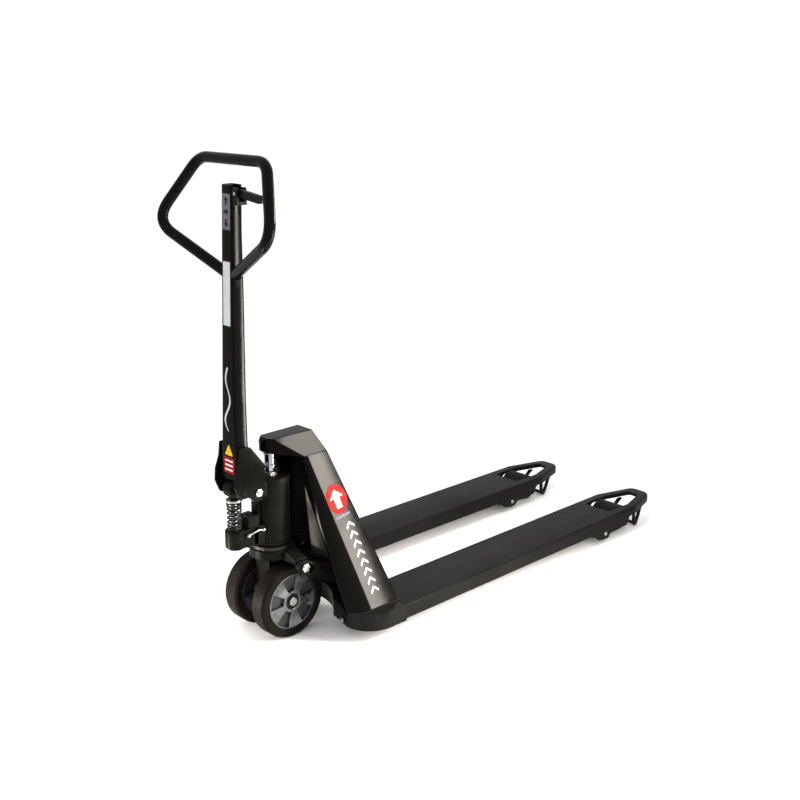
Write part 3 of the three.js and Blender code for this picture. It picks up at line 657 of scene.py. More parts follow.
def leg_mix(key, z):
    """A leg's plan size at a height."""
    rise = (z - LEG_FOOT["z"]) / (LEG_HEAD["z"] - LEG_FOOT["z"])
    return LEG_FOOT[key] + (LEG_HEAD[key] - LEG_FOOT[key]) * rise


def leg_section(side, rise):
    z = LEG_FOOT["z"] + (LEG_HEAD["z"] - LEG_FOOT["z"]) * rise
    points = []
    for low, high in zip(leg_plan(LEG_FOOT), leg_plan(LEG_HEAD)):
        x, y = (a + (b - a) * rise for a, b in zip(low, high))
        points.append(place(x, side * y, z))
    return points


def make_leg(name, side):
    bm = bmesh.new()
    levels = 12
    loft(bm, [leg_section(side, i / levels) for i in range(levels + 1)])
    finish_piece(bm, f"leg_pressing_{name}", "chassis", "gloss_black_paint", f"leg_{name}", bevel=1.2)
    boss = ring_profile(12.9, 18.5, *span(side, 203, 214))
    turned_piece(f"shaft_boss_{name}", "chassis", "gloss_black_paint", boss, (176, 0, 120))


def make_center_panel():
    """A guessed panel on the rear of the leaning front plate, coloured pale grey as painted light for the
    light the black plate's rear face catches. No CAD node stands behind it.
    """
    outline = [(-111, 92), (111, 92), (32, 440), (-32, 440)]

    def layer(out):
        return [place(leg_mix("front", z) - LEG_PLATE - out, y, z) for y, z in outline]

    bm = bmesh.new()
    loft(bm, [layer(-0.5), layer(1.6)])
    # The panel's pale grey is painted light on the front plate's rear.
    look = {"material": "painted_light_grey", "bevel": 0.5, "segments": 2}
    finish_piece(bm, "center_panel", "chassis", "satin_black_paint", **look)


def make_hood():
    bm = bmesh.new()
    for x, y, z in HOOD:
        for flip in (1, -1):
            bm.verts.new(place(x, flip * y, z))
    bmesh.ops.convex_hull(bm, input=bm.verts)
    bmesh.ops.dissolve_limit(bm, angle_limit=math.radians(1), verts=bm.verts, edges=bm.edges)
    under = [f for f in bm.faces if f.normal.z < -0.9]
    bmesh.ops.delete(bm, geom=under, context="FACES_ONLY")
    hood = finish_piece(bm, "hood_pressing", "chassis", "gloss_black_paint", "head_hood")
    thick = hood.modifiers.new("thick", "SOLIDIFY")
    thick.thickness = 4.5 * MM
    thick.offset = -1
    round_edges(hood, 3.5, 5, 12)


def weld_bead(name, body, route, radius=2.6, slot="satin_black_paint"):
    """A rippled bead laid along a route of Vectors."""
    pitch = 5.0
    length = sum((b - a).length for a, b in zip(route, route[1:])) / MM
    count = max(4, int(length / pitch) * 4)
    points = resampled(route, count)
    bm = bmesh.new()
    rings = []
    normal = Vector((0, 0, 1))
    for i, point in enumerate(points):
        ahead = points[min(i + 1, count)] - points[max(i - 1, 0)]
        across = ahead.cross(normal).normalized()
        swell = radius * (1 + 0.16 * math.sin(2 * math.pi * i / 4)) * (0.35 if i in (0, count) else 1)
        rings.append(circle(point, across, normal, swell, 8))
    loft(bm, rings)
    finish_piece(bm, name, body, slot, sharp=80)


def resampled(route, count):
    """Points evenly spaced along a polyline."""
    lengths = [0.0]
    for a, b in zip(route, route[1:]):
        lengths.append(lengths[-1] + (b - a).length)
    points = []
    k = 0
    for i in range(count + 1):
        goal = lengths[-1] * i / count
        while k < len(route) - 2 and lengths[k + 1] < goal:
            k += 1
        span = lengths[k + 1] - lengths[k]
        points.append(route[k].lerp(route[k + 1], (goal - lengths[k]) / span if span else 0))
    return points


def make_welds(name, side):
    bend = LEG_FOOT["bend"]
    center = (LEG_FOOT["rear"] + bend, LEG_FOOT["outer"] - bend)
    foot = [(LEG_FOOT["front"] - 2, LEG_FOOT["outer"] + 1)]
    foot += arc(center, bend + 1, 90, 90 + LEG_FOOT["wrap"], 20)
    weld_bead(f"leg_weld_{name}", "chassis", [place(x, side * y, FORK["top"] + 0.8) for x, y in foot])
    half = FORK["half"]
    heel = [(BASE["front"] + 0.2, FORK_Y + half - 6), (BASE["front"] + 0.2, FORK_Y - half + 6)]
    weld_bead(f"heel_weld_{name}", "chassis", [place(x, side * y, FORK["top"] - 0.6) for x, y in heel], 2.0)


def make_corner_bolt(name, side):
    """The bright bolt low on the base's rear corner."""
    center = Vector((*BASE["corner_at"], 0))
    turn = math.radians(196)
    outward = Vector((math.cos(turn), math.sin(turn), 0))
    spot = center + outward * (BASE["corner"] + 0.2)
    bm = bmesh.new()
    turned(bm, solid_profile(8, 0, 2.0, 0.6), (0, 0, 0), "z", 32)
    turned(bm, [(0, 1.6), (6.2, 1.6), (6.2, 5.4), (5, 6.4), (0, 6.4)], (0, 0, 0), "z", 6)
    direction = Vector((outward.x, side * outward.y, 0))
    turn_to = direction.to_track_quat("Z", "Y").to_matrix().to_4x4()
    origin = place(0, 0, 0)
    target = place(spot.x, side * spot.y, 47)
    bm.transform(Matrix.Translation(target) @ turn_to @ Matrix.Translation(-origin))
    finish_piece(bm, f"corner_bolt_{name}", "chassis", "zinc_plate")


# ---- Generic turned parts ----


def make_pin(node, body, slot="zinc_plate", edge=1.0, heads=(), radius=None, material=None):
    """A plain cross pin along Y, from its CAD node's box. Heads are (inner y, outer y, size)."""
    low, high = mm_box(node)
    origin = box_origin(node)
    ends = [low.y, high.y]
    bm = bmesh.new()
    for inner, outer, size in heads:
        out = 1 if outer > inner else -1
        ends[outer > 0 and outer > inner] = inner + out * 0.5
        prism(bm, hexagon((origin[0], origin[2]), size), *sorted((inner, outer - out * 1.2)), "y")
        dome = [
            (0, inner), (size * 0.86, inner), (size * 0.86, outer - out * 1.6),
            (size * 0.6, outer - out * 0.4), (0, outer),
        ]
        turned(bm, dome, origin, "y", 32)
    turned(bm, solid_profile(radius or (high.z - low.z) / 2, *ends, edge), origin, "y", 48)
    return finish_piece(bm, f"{node}_turned", body, slot, node, material, bevel=0.5, segments=2)


def box_origin(node):
    """Where a cross pin's or roller's axis crosses the middle plane, from its CAD node's box."""
    low, high = mm_box(node)
    return ((low.x + high.x) / 2, 0, (low.z + high.z) / 2)


def make_pins():
    for name, side in SIDES.items():
        make_pin(f"wheel_frame_shaft_{name}", "chassis", edge=1.5)
        make_pin(f"load_axle_{name}", f"wheel_frame_{name}", edge=1.5)
        make_pin(f"push_pin_{name}", f"wheel_frame_{name}")
        make_pin(f"trunnion_pin_{name}", "collar", heads=[(side * 122, side * 128, 12)], radius=8)
    make_pin("rocker_shaft", "chassis", "bright_steel")
    make_pin("roller_pin", "tiller", material="casting")
    make_pin("steer_axle", "pump_unit", "bright_steel", edge=2.0)
    make_pin("tiller_pivot_pin", "pump_unit", heads=[(45.6, 50, 11), (-45.6, -50, 11)], radius=8)


# ---- Pump ----


def make_reservoir():
    low, high = mm_box("pump_reservoir")
    top, bottom, radius = high.z, low.z, (high.x - low.x) / 2
    profile = [
        (14.4, top), (14.4, bottom + 8), (0, bottom + 8), (0, bottom), (radius - 2, bottom),
        (radius, bottom + 2), (radius, bottom + 9), (radius - 1.6, bottom + 11), (radius - 1.6, top - 16),
        (radius, top - 14), (radius, top - 4), (radius - 1.2, top - 1.4), (radius - 4, top),
    ]
    turned_piece("reservoir_tube", "pump_unit", "casting", profile, (0, 0, 0), "z", 96,
                 replaces="pump_reservoir", bevel=0.4, segments=2)


def make_pump_top():
    top = mm_box("pump_reservoir")[1].z
    bm = bmesh.new()
    turned(bm, rectangle(15, 21, top, top + 1.5), (0, 0, 0), "z", 64)
    turned(bm, ring_profile(15, 18.8, top + 1.5, top + 7, 0.8), (0, 0, 0), "z", 6)
    finish_piece(bm, "gland_nut_hex", "pump_unit", "zinc_plate", "gland_nut", bevel=0.5, segments=2)
    center = (32, 12)
    bm = bmesh.new()
    turned(bm, solid_profile(8, top, top + 1.6, 0.4), (*center, 0), "z", 40)
    prism(bm, hexagon(center, 6.6), top + 1.5, top + 7, "z")
    finish_piece(bm, "filler_plug_hex", "pump_unit", "zinc_plate", "filler_plug", bevel=0.5, segments=2)


def make_ram():
    low, high = mm_box("lift_ram")
    groove = [(14, 436), (13.2, 437), (13.2, 439), (14, 440)]
    profile = [(0, low.z), (14, low.z)] + groove
    profile += fillet([(14, 449), (17, 450), (17, 458), (14, 459)], 1.2, 3)
    profile += [(14, high.z - 3), (12, high.z), (0, high.z)]
    turned_piece("ram_rod", "ram", "chrome_plate", profile, (0, 0, 0), "z", 72, replaces="lift_ram")


def make_pump_base():
    """The casting under the reservoir: softened blocks and turned bosses that run into each other."""
    foot = [(0, 200), (40, 200), (40, 240), (50, 249), (RESERVOIR["radius"], RESERVOIR["bottom"]), (0, 258)]
    axle_block = [(-34, 100), (-34, 206), (34, 206), (34, 100)] + arc((0, 100), 34, 0, -180, 24)[1:-1]
    barrel = fillet([(0, 258), (20, 258), (26, 264), (26, 308), (0, 308)], [0, 3, 3, 2.5, 0], 5)
    bm = bmesh.new()
    turned(bm, fillet(foot, [0, 3, 6, 2, 1, 0], 5), (0, 0, 0), "z", 72)
    prism(bm, axle_block, -29.5, 29.5, "y")
    prism(bm, rectangle(BARREL_X, -60, -26, 26), 262, 308, "z")
    prism(bm, rectangle(-75, -30, -26, 26), 257, 308, "z")
    prism(bm, fillet(rectangle(-90, -55, -22, 22), [5, 2, 2, 5], 4), 300, 338, "z")
    prism(bm, hexagon((-73, 0), 7), 337, 342, "z")
    turned(bm, barrel, (BARREL_X, 0, 0), "z", 72)
    turned(bm, ring_profile(9.6, 24, 306, 310.5, 1.2), (BARREL_X, 0, 0), "z", 64)
    finish_piece(bm, "pump_casting", "pump_unit", "casting", "pump_base", bevel=2.2)


def make_tiller_mount():
    outline = [(-36, 388), (-74, 388), (-86, 400), (-86, 416), (-76, 426), (-36, 426)]
    bm = bmesh.new()
    prism(bm, fillet(outline, [1, 5, 6, 6, 5, 1], 5), -35, 35, "y")
    finish_lug(bm, "tiller_lug", "tiller_mount")
    bm = bmesh.new()
    prism(bm, fillet(rectangle(-54, -36, -16, 16), [7, 0, 0, 7], 6), 308.3, 388.5, "z")
    finish_lug(bm, "pressure_cylinder")


def finish_lug(bm, name, replaces=()):
    """Fits a lug to the reservoir's round side, and bores it for the tiller's pin."""
    round_side = cutter_bar((0, 0, 0), RESERVOIR["radius"] + 0.2, 300, 440, "z", 96)
    mesh = cut_mesh(bm, [round_side, pin_bore(TILLER_PIN)])
    finish_mesh(mesh, name, "pump_unit", "casting", replaces, bevel=1.5)


def plunger_x():
    return middle("plunger").x / MM - STEER_X / MM


def make_plunger():
    axis = (plunger_x(), 0, 0)
    rod_low, rod_high = mm_box("plunger")
    low, high = mm_box("spring_cap")
    rod = solid_profile(9, rod_low.z, rod_high.z)
    turned_piece("plunger_rod", "plunger", "chrome_plate", rod, axis, "z", 48, replaces="plunger")
    corners = [(0, low.z - 3), (13, low.z - 3), (13, low.z), (19, low.z), (21, low.z + 2)]
    corners += [(21, high.z - 2), (17, high.z), (0, high.z)]
    cap = fillet(corners, [0, 1, 0, 1, 1, 2, 2, 0], 3)
    turned_piece("spring_cap_turned", "plunger", "zinc_plate", cap, axis, "z", replaces="spring_cap")


def make_spring():
    """A coil with close-wound ends, built at one length; on the truck the spring shortens as the plunger goes
    down.
    """
    x = plunger_x()
    low, high, wire, coil, turns, crowding = SPRING.values()
    steps = int(turns * 40)
    path = []
    for i in range(steps + 1):
        t = i / steps
        angle = 2 * math.pi * turns * t
        rise = t - crowding * math.sin(2 * math.pi * t)
        z = low + wire + (high - low - 2 * wire) * rise
        path.append(place(x + coil * math.cos(angle), coil * math.sin(angle), z))
    bm = bmesh.new()
    sweep(bm, path, wire, 14)
    spring = finish_piece(bm, "pump_spring_coil", "pump_unit", "spring_steel", "pump_spring", sharp=80)
    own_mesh(spring)


def make_valve_arm():
    route = [place(-50, -33, 300), place(-62, -34, 303), place(-78, -34, 301), place(-96, -33, 296)]
    bm = bmesh.new()
    sweep(bm, rounded_route(route, [0, 8, 8, 0]), 3.0, 16)
    for x, z in ((-50, 300), (-96, 296)):
        turned(bm, ball_profile(5.6), (x, -34, z), "y", 32)
    finish_piece(bm, "valve_lever", "valve_arm", "zinc_plate", "valve_arm")


def ball_profile(radius):
    steps = 14
    return [(radius * math.sin(math.pi * i / steps), -radius * math.cos(math.pi * i / steps))
            for i in range(steps + 1)]


# ---- Steering wheels ----


def hub_face(radius, angle):
    """How far the hub's face stands back from its rim, in mm: wedge spokes with equal pockets between."""
    boss, rim = HUB["boss"], HUB["rim"]
    if radius <= boss or radius >= rim:
        return 0.0
    phase = ((angle - SPOKE_TURN) * SPOKES / (2 * math.pi)) % 1.0
    from_spoke = min(phase, 1 - phase) * 2
    side_wall = (from_spoke - 0.47) / 0.06
    end_wall = min((radius - boss) / 1.6, (rim - radius) / 1.6)
    depth = max(0.0, min(1.0, side_wall, end_wall))
    dish = HUB["dish"] * math.sin(math.pi * (radius - boss) / (rim - boss))
    return dish + HUB["pocket"] * depth * depth * (3 - 2 * depth)


def make_hub(name, side):
    """Both faces of the hub as a relief over a polar grid, joined by the rim and the bore."""
    around = 240
    radii = [21.3, 22.4, 25, 28.9, 29.4, 30, 30.8] + [31 + 38 * i / 18 for i in range(19)]
    radii += [69.4, 70, 70.6, 71.1, 73.6, 74.6]
    bm = bmesh.new()

    def face_ring(radius, face):
        ring = []
        for i in range(around):
            angle = 2 * math.pi * i / around
            dip = hub_face(radius, angle)
            edge = 1.0 if radius > 74 or radius < 22 else 0.0
            y = HUB["outer"] - dip - edge if face == "outer" else HUB["inner"] + dip * 0.9 + edge
            ring.append(place(radius * math.sin(angle), side * y, WHEEL_Z + radius * math.cos(angle)))
        return ring

    rings = [face_ring(r, "outer") for r in radii] + [face_ring(r, "inner") for r in reversed(radii)]
    made = [add_ring(bm, ring) for ring in rings]
    for a, b in zip(made, made[1:] + made[:1]):
        bridge(bm, a, b)
    body = f"steer_wheel_{name}"
    finish_piece(bm, f"hub_casting_{name}", body, "hub_aluminium", f"steer_hub_{name}", sharp=28)
    make_hub_recesses(name, side)


def make_hub_recesses(name, side):
    """The rough cast floors of the outer pockets."""
    bm = bmesh.new()
    for k in range(SPOKES):
        middle_angle = SPOKE_TURN + 2 * math.pi * (k + 0.5) / SPOKES
        half = 0.46 * math.pi / SPOKES
        outline = [(32, middle_angle - half + 2 * half * i / 12) for i in range(13)]
        outline += [(69, middle_angle + half - 2 * half * i / 12) for i in range(13)]
        flat = [(r * math.sin(a), WHEEL_Z + r * math.cos(a)) for r, a in outline]
        prism(bm, flat, *span(side, 68.0, 71.6), "y")
    look = {"material": "hub_recess", "bevel": 0.8, "segments": 2}
    finish_piece(bm, f"hub_recesses_{name}", f"steer_wheel_{name}", "hub_aluminium", **look)


def make_tyre(name, side):
    corners = [(75, 34), (77, 33), (94, 33), (100, 39), (100, 77), (94, 83), (77, 83), (75, 82)]
    profile = fillet(corners, [0.5, 1, 4, 4, 4, 4, 1, 0.5], 6)
    turned_piece(f"tyre_{name}", f"steer_wheel_{name}", "wheel_tyre", profile, (0, 0, WHEEL_Z),
                 steps=128, side=side, replaces=f"steer_tyre_{name}")


def make_bearings(name, side):
    body = f"steer_wheel_{name}"
    origin = (0, 0, WHEEL_Z)
    for node, face, back in ((f"outer_bearing_{name}", 80.0, 69.3), (f"inner_bearing_{name}", 36.0, 45.7)):
        inward = 1 if back > face else -1
        bm = bmesh.new()
        for inner, outer in ((18.2, 21), (12.2, 14.6)):
            turned(bm, ring_profile(inner, outer, *sorted((face, back))), origin, "y", 72, side)
        finish_piece(bm, f"{node}_races", body, "bright_steel", node, material="dark_steel")
        seal = ring_profile(14.7, 18.1, *sorted((face + inward * 0.8, back - inward * 0.8)), 0.8)
        turned_piece(f"{node}_seal", body, "bright_steel", seal, origin, steps=72, side=side,
                     material="seal_rubber")
    ring = ring_profile(12.1, 14.2, 81.2, 82.6, 0.4)
    turned_piece(f"axle_ring_{name}", "pump_unit", "bright_steel", ring, origin, steps=48, side=side,
                 material="dark_steel")


# ---- Load wheels and linkage ----


def make_load_wheel(name, side):
    body = f"load_wheel_{name}"
    x, _, z = box_origin(f"load_wheel_tyre_{name}")
    origin = (x, side * FORK_Y, z)
    tyre = [(26.2, -44), (37, -44), (41, -39), (41, 39), (37, 44), (26.2, 44)]
    turned_piece(f"roller_tyre_{name}", body, "wheel_tyre", fillet(tyre, [0.5, 3, 4, 4, 3, 0.5], 5), origin,
                 steps=96, replaces=f"load_wheel_tyre_{name}")
    half_core = [(10.3, -42), (14, -42), (15, -39), (22, -39), (23, -42), (26, -42)]
    core = half_core + [(radius, -y) for radius, y in reversed(half_core)]
    turned_piece(f"roller_core_{name}", body, "bright_steel", fillet(core, 0.5, 3), origin, steps=72,
                 replaces=f"load_wheel_core_{name}")


def make_linkage():
    for name in SIDES:
        soften(f"push_rod_{name}", f"push_rod_{name}", "satin_black_paint", 0.8)
        soften(f"wheel_frame_{name}", f"wheel_frame_{name}", "satin_black_paint", 0.8)
    soften("rocker", "rocker", "satin_black_paint")
    soften("ram_seat", "chassis", "bright_steel", 0.5)
    soften("control_rod", "control_rod", "bright_steel", 0.4)
    soften("thrust_bearing", "collar", "bright_steel", 0.4, material="dark_steel")


def collar_arm(side, y, top):
    """A section of the collar's arm, which drops towards the trunnion pin."""
    corners = fillet([(-8, 208), (30, 208), (30, top), (-8, top)], 5, 4)
    return [place(x, side * y, z) for x, z in corners]


def make_collar():
    bm = bmesh.new()
    turned(bm, fillet(rectangle(44.2, 60, 212, 238), 3, 5), (0, 0, 0), "z", 96)
    for side in SIDES.values():
        loft(bm, [collar_arm(side, y, top) for y, top in ((46, 238), (70, 238), (90, 232), (106, 224))])
        ear = [(-4, 222), (26, 222)] + arc((11, 204.5), 15, 0, -180, 20)
        prism(bm, ear, *span(side, 96, 106), "y")
    finish_piece(bm, "collar_casting", "collar", "casting", "thrust_collar", bevel=1.8)


# ---- Tiller ----

# Height, front face, rear face and half width of the tiller tube.
TILLER_LEVELS = [
    (446, -126, -84, 35.6),
    (485, -124, -85, 34.5),
    (547, -122.3, -84.6, 30.5),
    (648, -120.3, -81.5, 26),
    (895, -110.7, -74.2, 22.9),
    (1062, -103.7, -72.1, 22.1),
    (1168, -99.5, -67, 20.9),
]


def tiller_at(z):
    """Front face, rear face and half width of the tiller tube at a height."""
    for (z0, *low), (z1, *high) in zip(TILLER_LEVELS, TILLER_LEVELS[1:]):
        if z <= z1:
            t = (z - z0) / (z1 - z0)
            return [a + (b - a) * t for a, b in zip(low, high)]
    return TILLER_LEVELS[-1][1:]


def tiller_section(z, inset, corner):
    front, rear, half = tiller_at(z)
    outline = rectangle(front + inset, rear - inset, -half + inset, half - inset)
    return [place(x, y, z) for x, y in fillet(outline, corner, 6)]


def make_tiller_tube():
    levels = sorted({z for z, *_ in TILLER_LEVELS} | {446 + 722 * i / 30 for i in range(31)})
    bm = bmesh.new()
    outside = loft(bm, [tiller_section(z, 0, 7) for z in levels], capped=False)
    inside = loft(bm, [tiller_section(z, 3, 4) for z in levels], capped=False)
    bridge(bm, outside[0], inside[0])
    bridge(bm, outside[-1], inside[-1])
    lever_slot = rectangle(-93, -75, 1122, 1175)
    mesh = cut_mesh(bm, [cutter_prism(lever_slot, -30, -12, "y")])
    finish_mesh(mesh, "tiller_box_tube", "tiller", "gloss_black_paint", "tiller_tube", bevel=0.6, segments=2)


def make_tiller_bracket(name, side):
    outline = [
        (-121, 536), (-90, 532), (-50, 480), (-46, 440), (-57, 386), (-83, 386),
        (-100, 402), (-126, 402), (-140, 436), (-137, 468), (-125, 500),
    ]
    rounded = fillet(outline, [6, 10, 12, 20, 9, 9, 8, 8, 10, 16, 16], 6)
    bm = bmesh.new()
    prism(bm, rounded, *span(side, 38, 45), "y")
    mesh = cut_mesh(bm, [pin_bore(TILLER_PIN), pin_bore(ROLLER_PIN)])
    plate = f"tiller_plate_{name}"
    finish_mesh(mesh, plate, "tiller", "gloss_black_paint", f"tiller_bracket_{name}", bevel=1.2)
    edge = [place(x, side * 37.2, z) for x, z in ((-119, 528), (-91, 526), (-84, 512))]
    weld_bead(f"plate_weld_{name}", "tiller", edge, 2.2, "gloss_black_paint")


def make_roller():
    profile = fillet([(7.3, -16), (20.5, -16), (22, -14.5), (22, 14.5), (20.5, 16), (7.3, 16)], 0.8, 3)
    turned_piece("pump_roller", "tiller", "bright_steel", profile, box_origin("tiller_roller"), steps=72,
                 replaces="tiller_roller", material="casting")


def on_side(point, side):
    x, y, z = point
    return place(x, side * y, z)


def make_handle_loop():
    corners = [LOOP_ATTACH, LOOP_WIDEST, LOOP_TOP]
    ends = [on_side(c, 1) for c in corners] + [on_side(c, -1) for c in reversed(corners)]
    bm = bmesh.new()
    sweep(bm, rounded_route(ends, [0, 62, 34, 34, 62, 0], 24), 13.5, 36)
    finish_piece(bm, "hand_loop", "tiller", "loop_coating", "handle_loop", sharp=50)
    for name, side in SIDES.items():
        make_loop_weld(name, side)


def make_loop_weld(name, side):
    """A bead round the loop's end, laid flat on the tiller's side."""
    wall = side * 23.0 * MM
    start = Vector(place(-93.6, side * 23.2, 960))
    direction = (on_side(LOOP_WIDEST, side) - on_side(LOOP_ATTACH, side)).normalized()
    across = direction.orthogonal().normalized()
    ring = circle(start, across, direction.cross(across), 14, 24)
    flat = [Vector((p.x, wall, p.z - (p.y - wall) * side * 0.5)) for p in [*ring, ring[0]]]
    weld_bead(f"loop_weld_{name}", "tiller", flat, 2.2, "gloss_black_paint")


def make_lever():
    y, z = LEVER_PIN["y"], LEVER_PIN["z"]
    outline = [
        (-8, z + 4), (-8, z - 4), (y + 8, z - 4), (y - 4, z - 10), (-110, 1130.5), (-121, 1133),
        (-122, 1143), (-113, 1149), (y - 8, z + 9), (y + 4, z + 8), (y + 10, z + 4),
    ]
    bm = bmesh.new()
    prism(bm, fillet(outline, [1, 1, 3, 5, 5, 5, 5, 5, 5, 4, 3], 5), -90, -78, "x")
    finish_piece(bm, "finger_lever", "control_lever", "black_plastic", "control_lever", bevel=3.0, segments=4)
    soften("lever_bracket", "tiller", "black_plastic", 1.2, 3)
    turned_piece("lever_pin_turned", "tiller", "zinc_plate", solid_profile(4, -101, -67, 0.8), (0, y, z), "x",
                 32, replaces="lever_pin")


# ---- Labels: plain shapes, no lettering ----

FILM = 0.3
SECOND_FILM = 0.45


def tiller_film(name, outline, material, lift=0.1):
    """A film on the tiller's front face, which leans and tapers. Outline is (y, z)."""
    near = [place(tiller_at(z)[0] - lift, y, z) for y, z in outline]
    far = [place(tiller_at(z)[0] - lift - FILM, y, z) for y, z in outline]
    bm = bmesh.new()
    loft(bm, [near, far])
    finish_piece(bm, name, "tiller", "gloss_black_paint", material=material)


def arrow(center, size, turn):
    """A plain block arrow, turned by an angle in degrees."""
    shape = [(-0.18, -0.5), (0.18, -0.5), (0.18, 0.05), (0.45, 0.05), (0, 0.5), (-0.45, 0.05), (-0.18, 0.05)]
    return set_down(shape, center, math.radians(turn), size)


def make_tiller_labels():
    tiller_film("pictogram_plate", fillet(rectangle(-15.5, 15.5, 1063, 1147), 2.0, 4), "label_grey")
    for index, (z, turn) in enumerate(((1131, 0), (1105, 90), (1079, 180))):
        tiller_film(f"pictogram_{index}", arrow((0, z), 19, turn), "label_black", SECOND_FILM)
    tiller_film("blank_strip", fillet(rectangle(-14, 14, 834, 988), 1.0, 4), "label_white")
    wave = [(13.0 * math.sin(math.pi * i / 20 * 3) * (1 - i / 40), 570 + 160 * i / 20) for i in range(21)]
    ribbon = [(y - 2.6, z) for y, z in wave] + [(y + 2.6, z + 2) for y, z in reversed(wave)]
    tiller_film("wave_stripe", ribbon, "label_white")
    tiller_film("plain_triangle", fillet([(-17, 508), (17, 508), (0, 537)], 3, 4), "label_yellow")
    tiller_film("red_panel", fillet(rectangle(-22, 22, 462, 503), 2.0, 4), "label_red")
    for index, z in enumerate((471, 482.5, 494)):
        bar = fillet(rectangle(-16, 16, z - 2.2, z + 2.2), 0.8, 4)
        tiller_film(f"panel_bar_{index}", bar, "label_white", SECOND_FILM)


def leg_film(name, outline, side, material, lift=0.1):
    """A film on a leg's outer face; outline is (x, distance up the slope from the base)."""
    rise = LEG_HEAD["z"] - LEG_FOOT["z"]
    lean = LEG_FOOT["outer"] - LEG_HEAD["outer"]
    slope = math.hypot(rise, lean)

    def at(x, b, out):
        y = LEG_FOOT["outer"] - lean * b / slope + out * rise / slope
        z = LEG_FOOT["z"] + rise * b / slope + out * lean / slope
        return place(x, side * y, z)

    bm = bmesh.new()
    loft(bm, [[at(x, b, out) for x, b in outline] for out in (lift, lift + FILM)])
    finish_piece(bm, name, "chassis", "gloss_black_paint", material=material)


def chevron(size, stroke):
    """A plain chevron that points up, about its own middle."""
    edge = [(-size, -size * 0.5), (0, size * 0.5), (size, -size * 0.5)]
    return edge + [(x, y + stroke) for x, y in reversed(edge)]


def set_down(shape, center, angle, size=1.0):
    """An outline scaled, turned by an angle in radians, and set down at center."""
    c, s = math.cos(angle), math.sin(angle)
    return [(center[0] + size * (u * c - v * s), center[1] + size * (u * s + v * c)) for u, v in shape]


def make_leg_labels(name, side):
    """A red badge with a white lift arrow, and a row of white chevrons running down the leg."""
    slant = math.atan2(27, 195)
    badge = (116, 303)
    disc = [(33 * math.cos(a), 40 * math.sin(a)) for a in (2 * math.pi * i / 48 for i in range(48))]
    bar = fillet(rectangle(-24, 24, -50, -43), 2, 4)
    leg_film(f"badge_{name}", set_down(disc, badge, slant), side, "label_red")
    leg_film(f"badge_bar_{name}", set_down(bar, badge, slant), side, "label_grey")
    lift_arrow = set_down(arrow((0, 0), 50, 0), badge, slant)
    leg_film(f"badge_arrow_{name}", lift_arrow, side, "label_white", SECOND_FILM)
    start, end, count = Vector((137, 226)), Vector((162, 46)), 8
    for index in range(count):
        spot = start.lerp(end, index / (count - 1))
        shape = set_down(fillet(chevron(13, 7), 0.8, 2), spot, slant)
        leg_film(f"chevron_{index}_{name}", shape, side, "label_white")


# ---- Stage ----

WARM_LIGHT = (1.0, 0.93, 0.84)
CAMERA_AT = (-1681.0, -2247.3, 1428.2)
CAMERA_YAW = 43.62
CAMERA_PITCH = 16.06
LENS = 51.88
PAPER_WHITE = 0.98
SURROUNDINGS = 1.1


def make_camera():
    data = bpy.data.cameras.new("camera")
    data.lens = LENS
    data.sensor_width = 36.0
    data.clip_end = 100
    camera = bpy.data.objects.new("camera", data)
    scene.collection.objects.link(camera)
    camera.location = place(*CAMERA_AT)
    camera.rotation_euler = (math.radians(90 - CAMERA_PITCH), 0, math.radians(-CAMERA_YAW))
    scene.camera = camera


def make_floor():
    bpy.ops.mesh.primitive_plane_add(size=60, location=(0, 0, -0.0005))
    floor = bpy.context.object
    floor.name = "floor"
    paper = bpy.data.materials.new("paper")
    paper.use_nodes = True
    shader = paper.node_tree.nodes["Principled BSDF"]
    shader.inputs["Base Color"].default_value = (PAPER_WHITE, PAPER_WHITE, PAPER_WHITE, 1)
    shader.inputs["Roughness"].default_value = 0.9
    shader.inputs["Specular IOR Level"].default_value = 0.0
    floor.data.materials.append(paper)


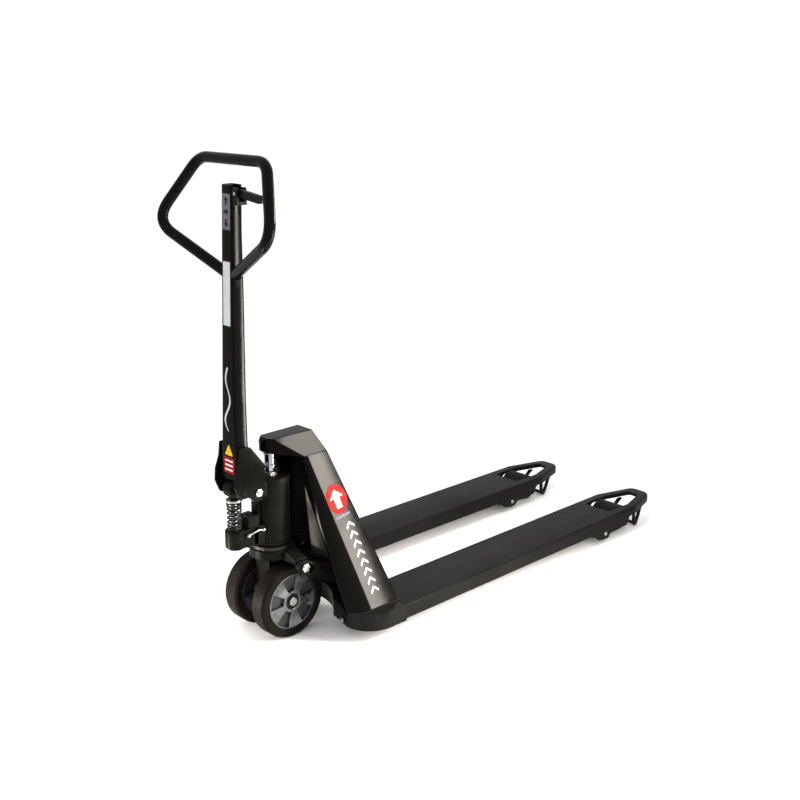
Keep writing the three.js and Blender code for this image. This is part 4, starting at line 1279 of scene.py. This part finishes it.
def make_light(name, at, target, up, size, power):
    """A rectangular softbox that faces the target, with its long side along up."""
    at, target = place(*at), place(*target)
    back = (at - target).normalized()
    across = Vector(up).cross(back).normalized()
    data = bpy.data.lights.new(name, "AREA")
    data.shape = "RECTANGLE"
    data.size, data.size_y = (side * MM for side in size)
    data.energy = power
    data.color = WARM_LIGHT
    light = bpy.data.objects.new(name, data)
    facing = Matrix((across, back.cross(across), back)).transposed().to_4x4()
    light.matrix_world = Matrix.Translation(at) @ facing
    scene.collection.objects.link(light)


def make_lights():
    """White surroundings, softboxes mirrored in the hood, a leg and the tiller, and a lamp for the panel."""
    world = bpy.data.worlds.new("studio")
    world.use_nodes = True
    world.node_tree.nodes["Background"].inputs["Color"].default_value = (1, 1, 1, 1)
    world.node_tree.nodes["Background"].inputs["Strength"].default_value = SURROUNDINGS
    scene.world = world
    make_light("hood_softbox", (580, -262, 1206), (60, -50, 510), (0, 0, 1), (280, 190), 9)
    make_light("leg_softbox", (632, -857, 452), (92, -150, 290), (-71, 182, 528), (95, 680), 21)
    make_light("panel_softbox", (-420, 160, 100), (200, 70, 200), (0, 0, 1), (120, 120), 3)
    make_light("tiller_softbox", (405, -747, 930), (-86, -21, 1060), (0, 0, 1), (45, 230), 4)


# ---- Assembly ----


def build_truck():
    for name, side in SIDES.items():
        make_fork(name, side)
        soften(f"entry_skid_{name}", "chassis", "satin_black_paint")
        make_leg(name, side)
        make_leg_labels(name, side)
        make_welds(name, side)
        make_corner_bolt(name, side)
        make_hub(name, side)
        make_tyre(name, side)
        make_bearings(name, side)
        make_load_wheel(name, side)
        make_tiller_bracket(name, side)
    make_base()
    soften("front_plate", "chassis", "gloss_black_paint")
    make_center_panel()
    make_hood()
    make_pins()
    make_reservoir()
    make_pump_top()
    make_ram()
    make_pump_base()
    make_tiller_mount()
    make_plunger()
    make_spring()
    make_valve_arm()
    make_linkage()
    make_collar()
    make_tiller_tube()
    make_roller()
    make_handle_loop()
    make_lever()
    make_tiller_labels()


make_camera()
make_floor()
make_lights()
build_truck()

scene.view_settings.view_transform = "Standard"
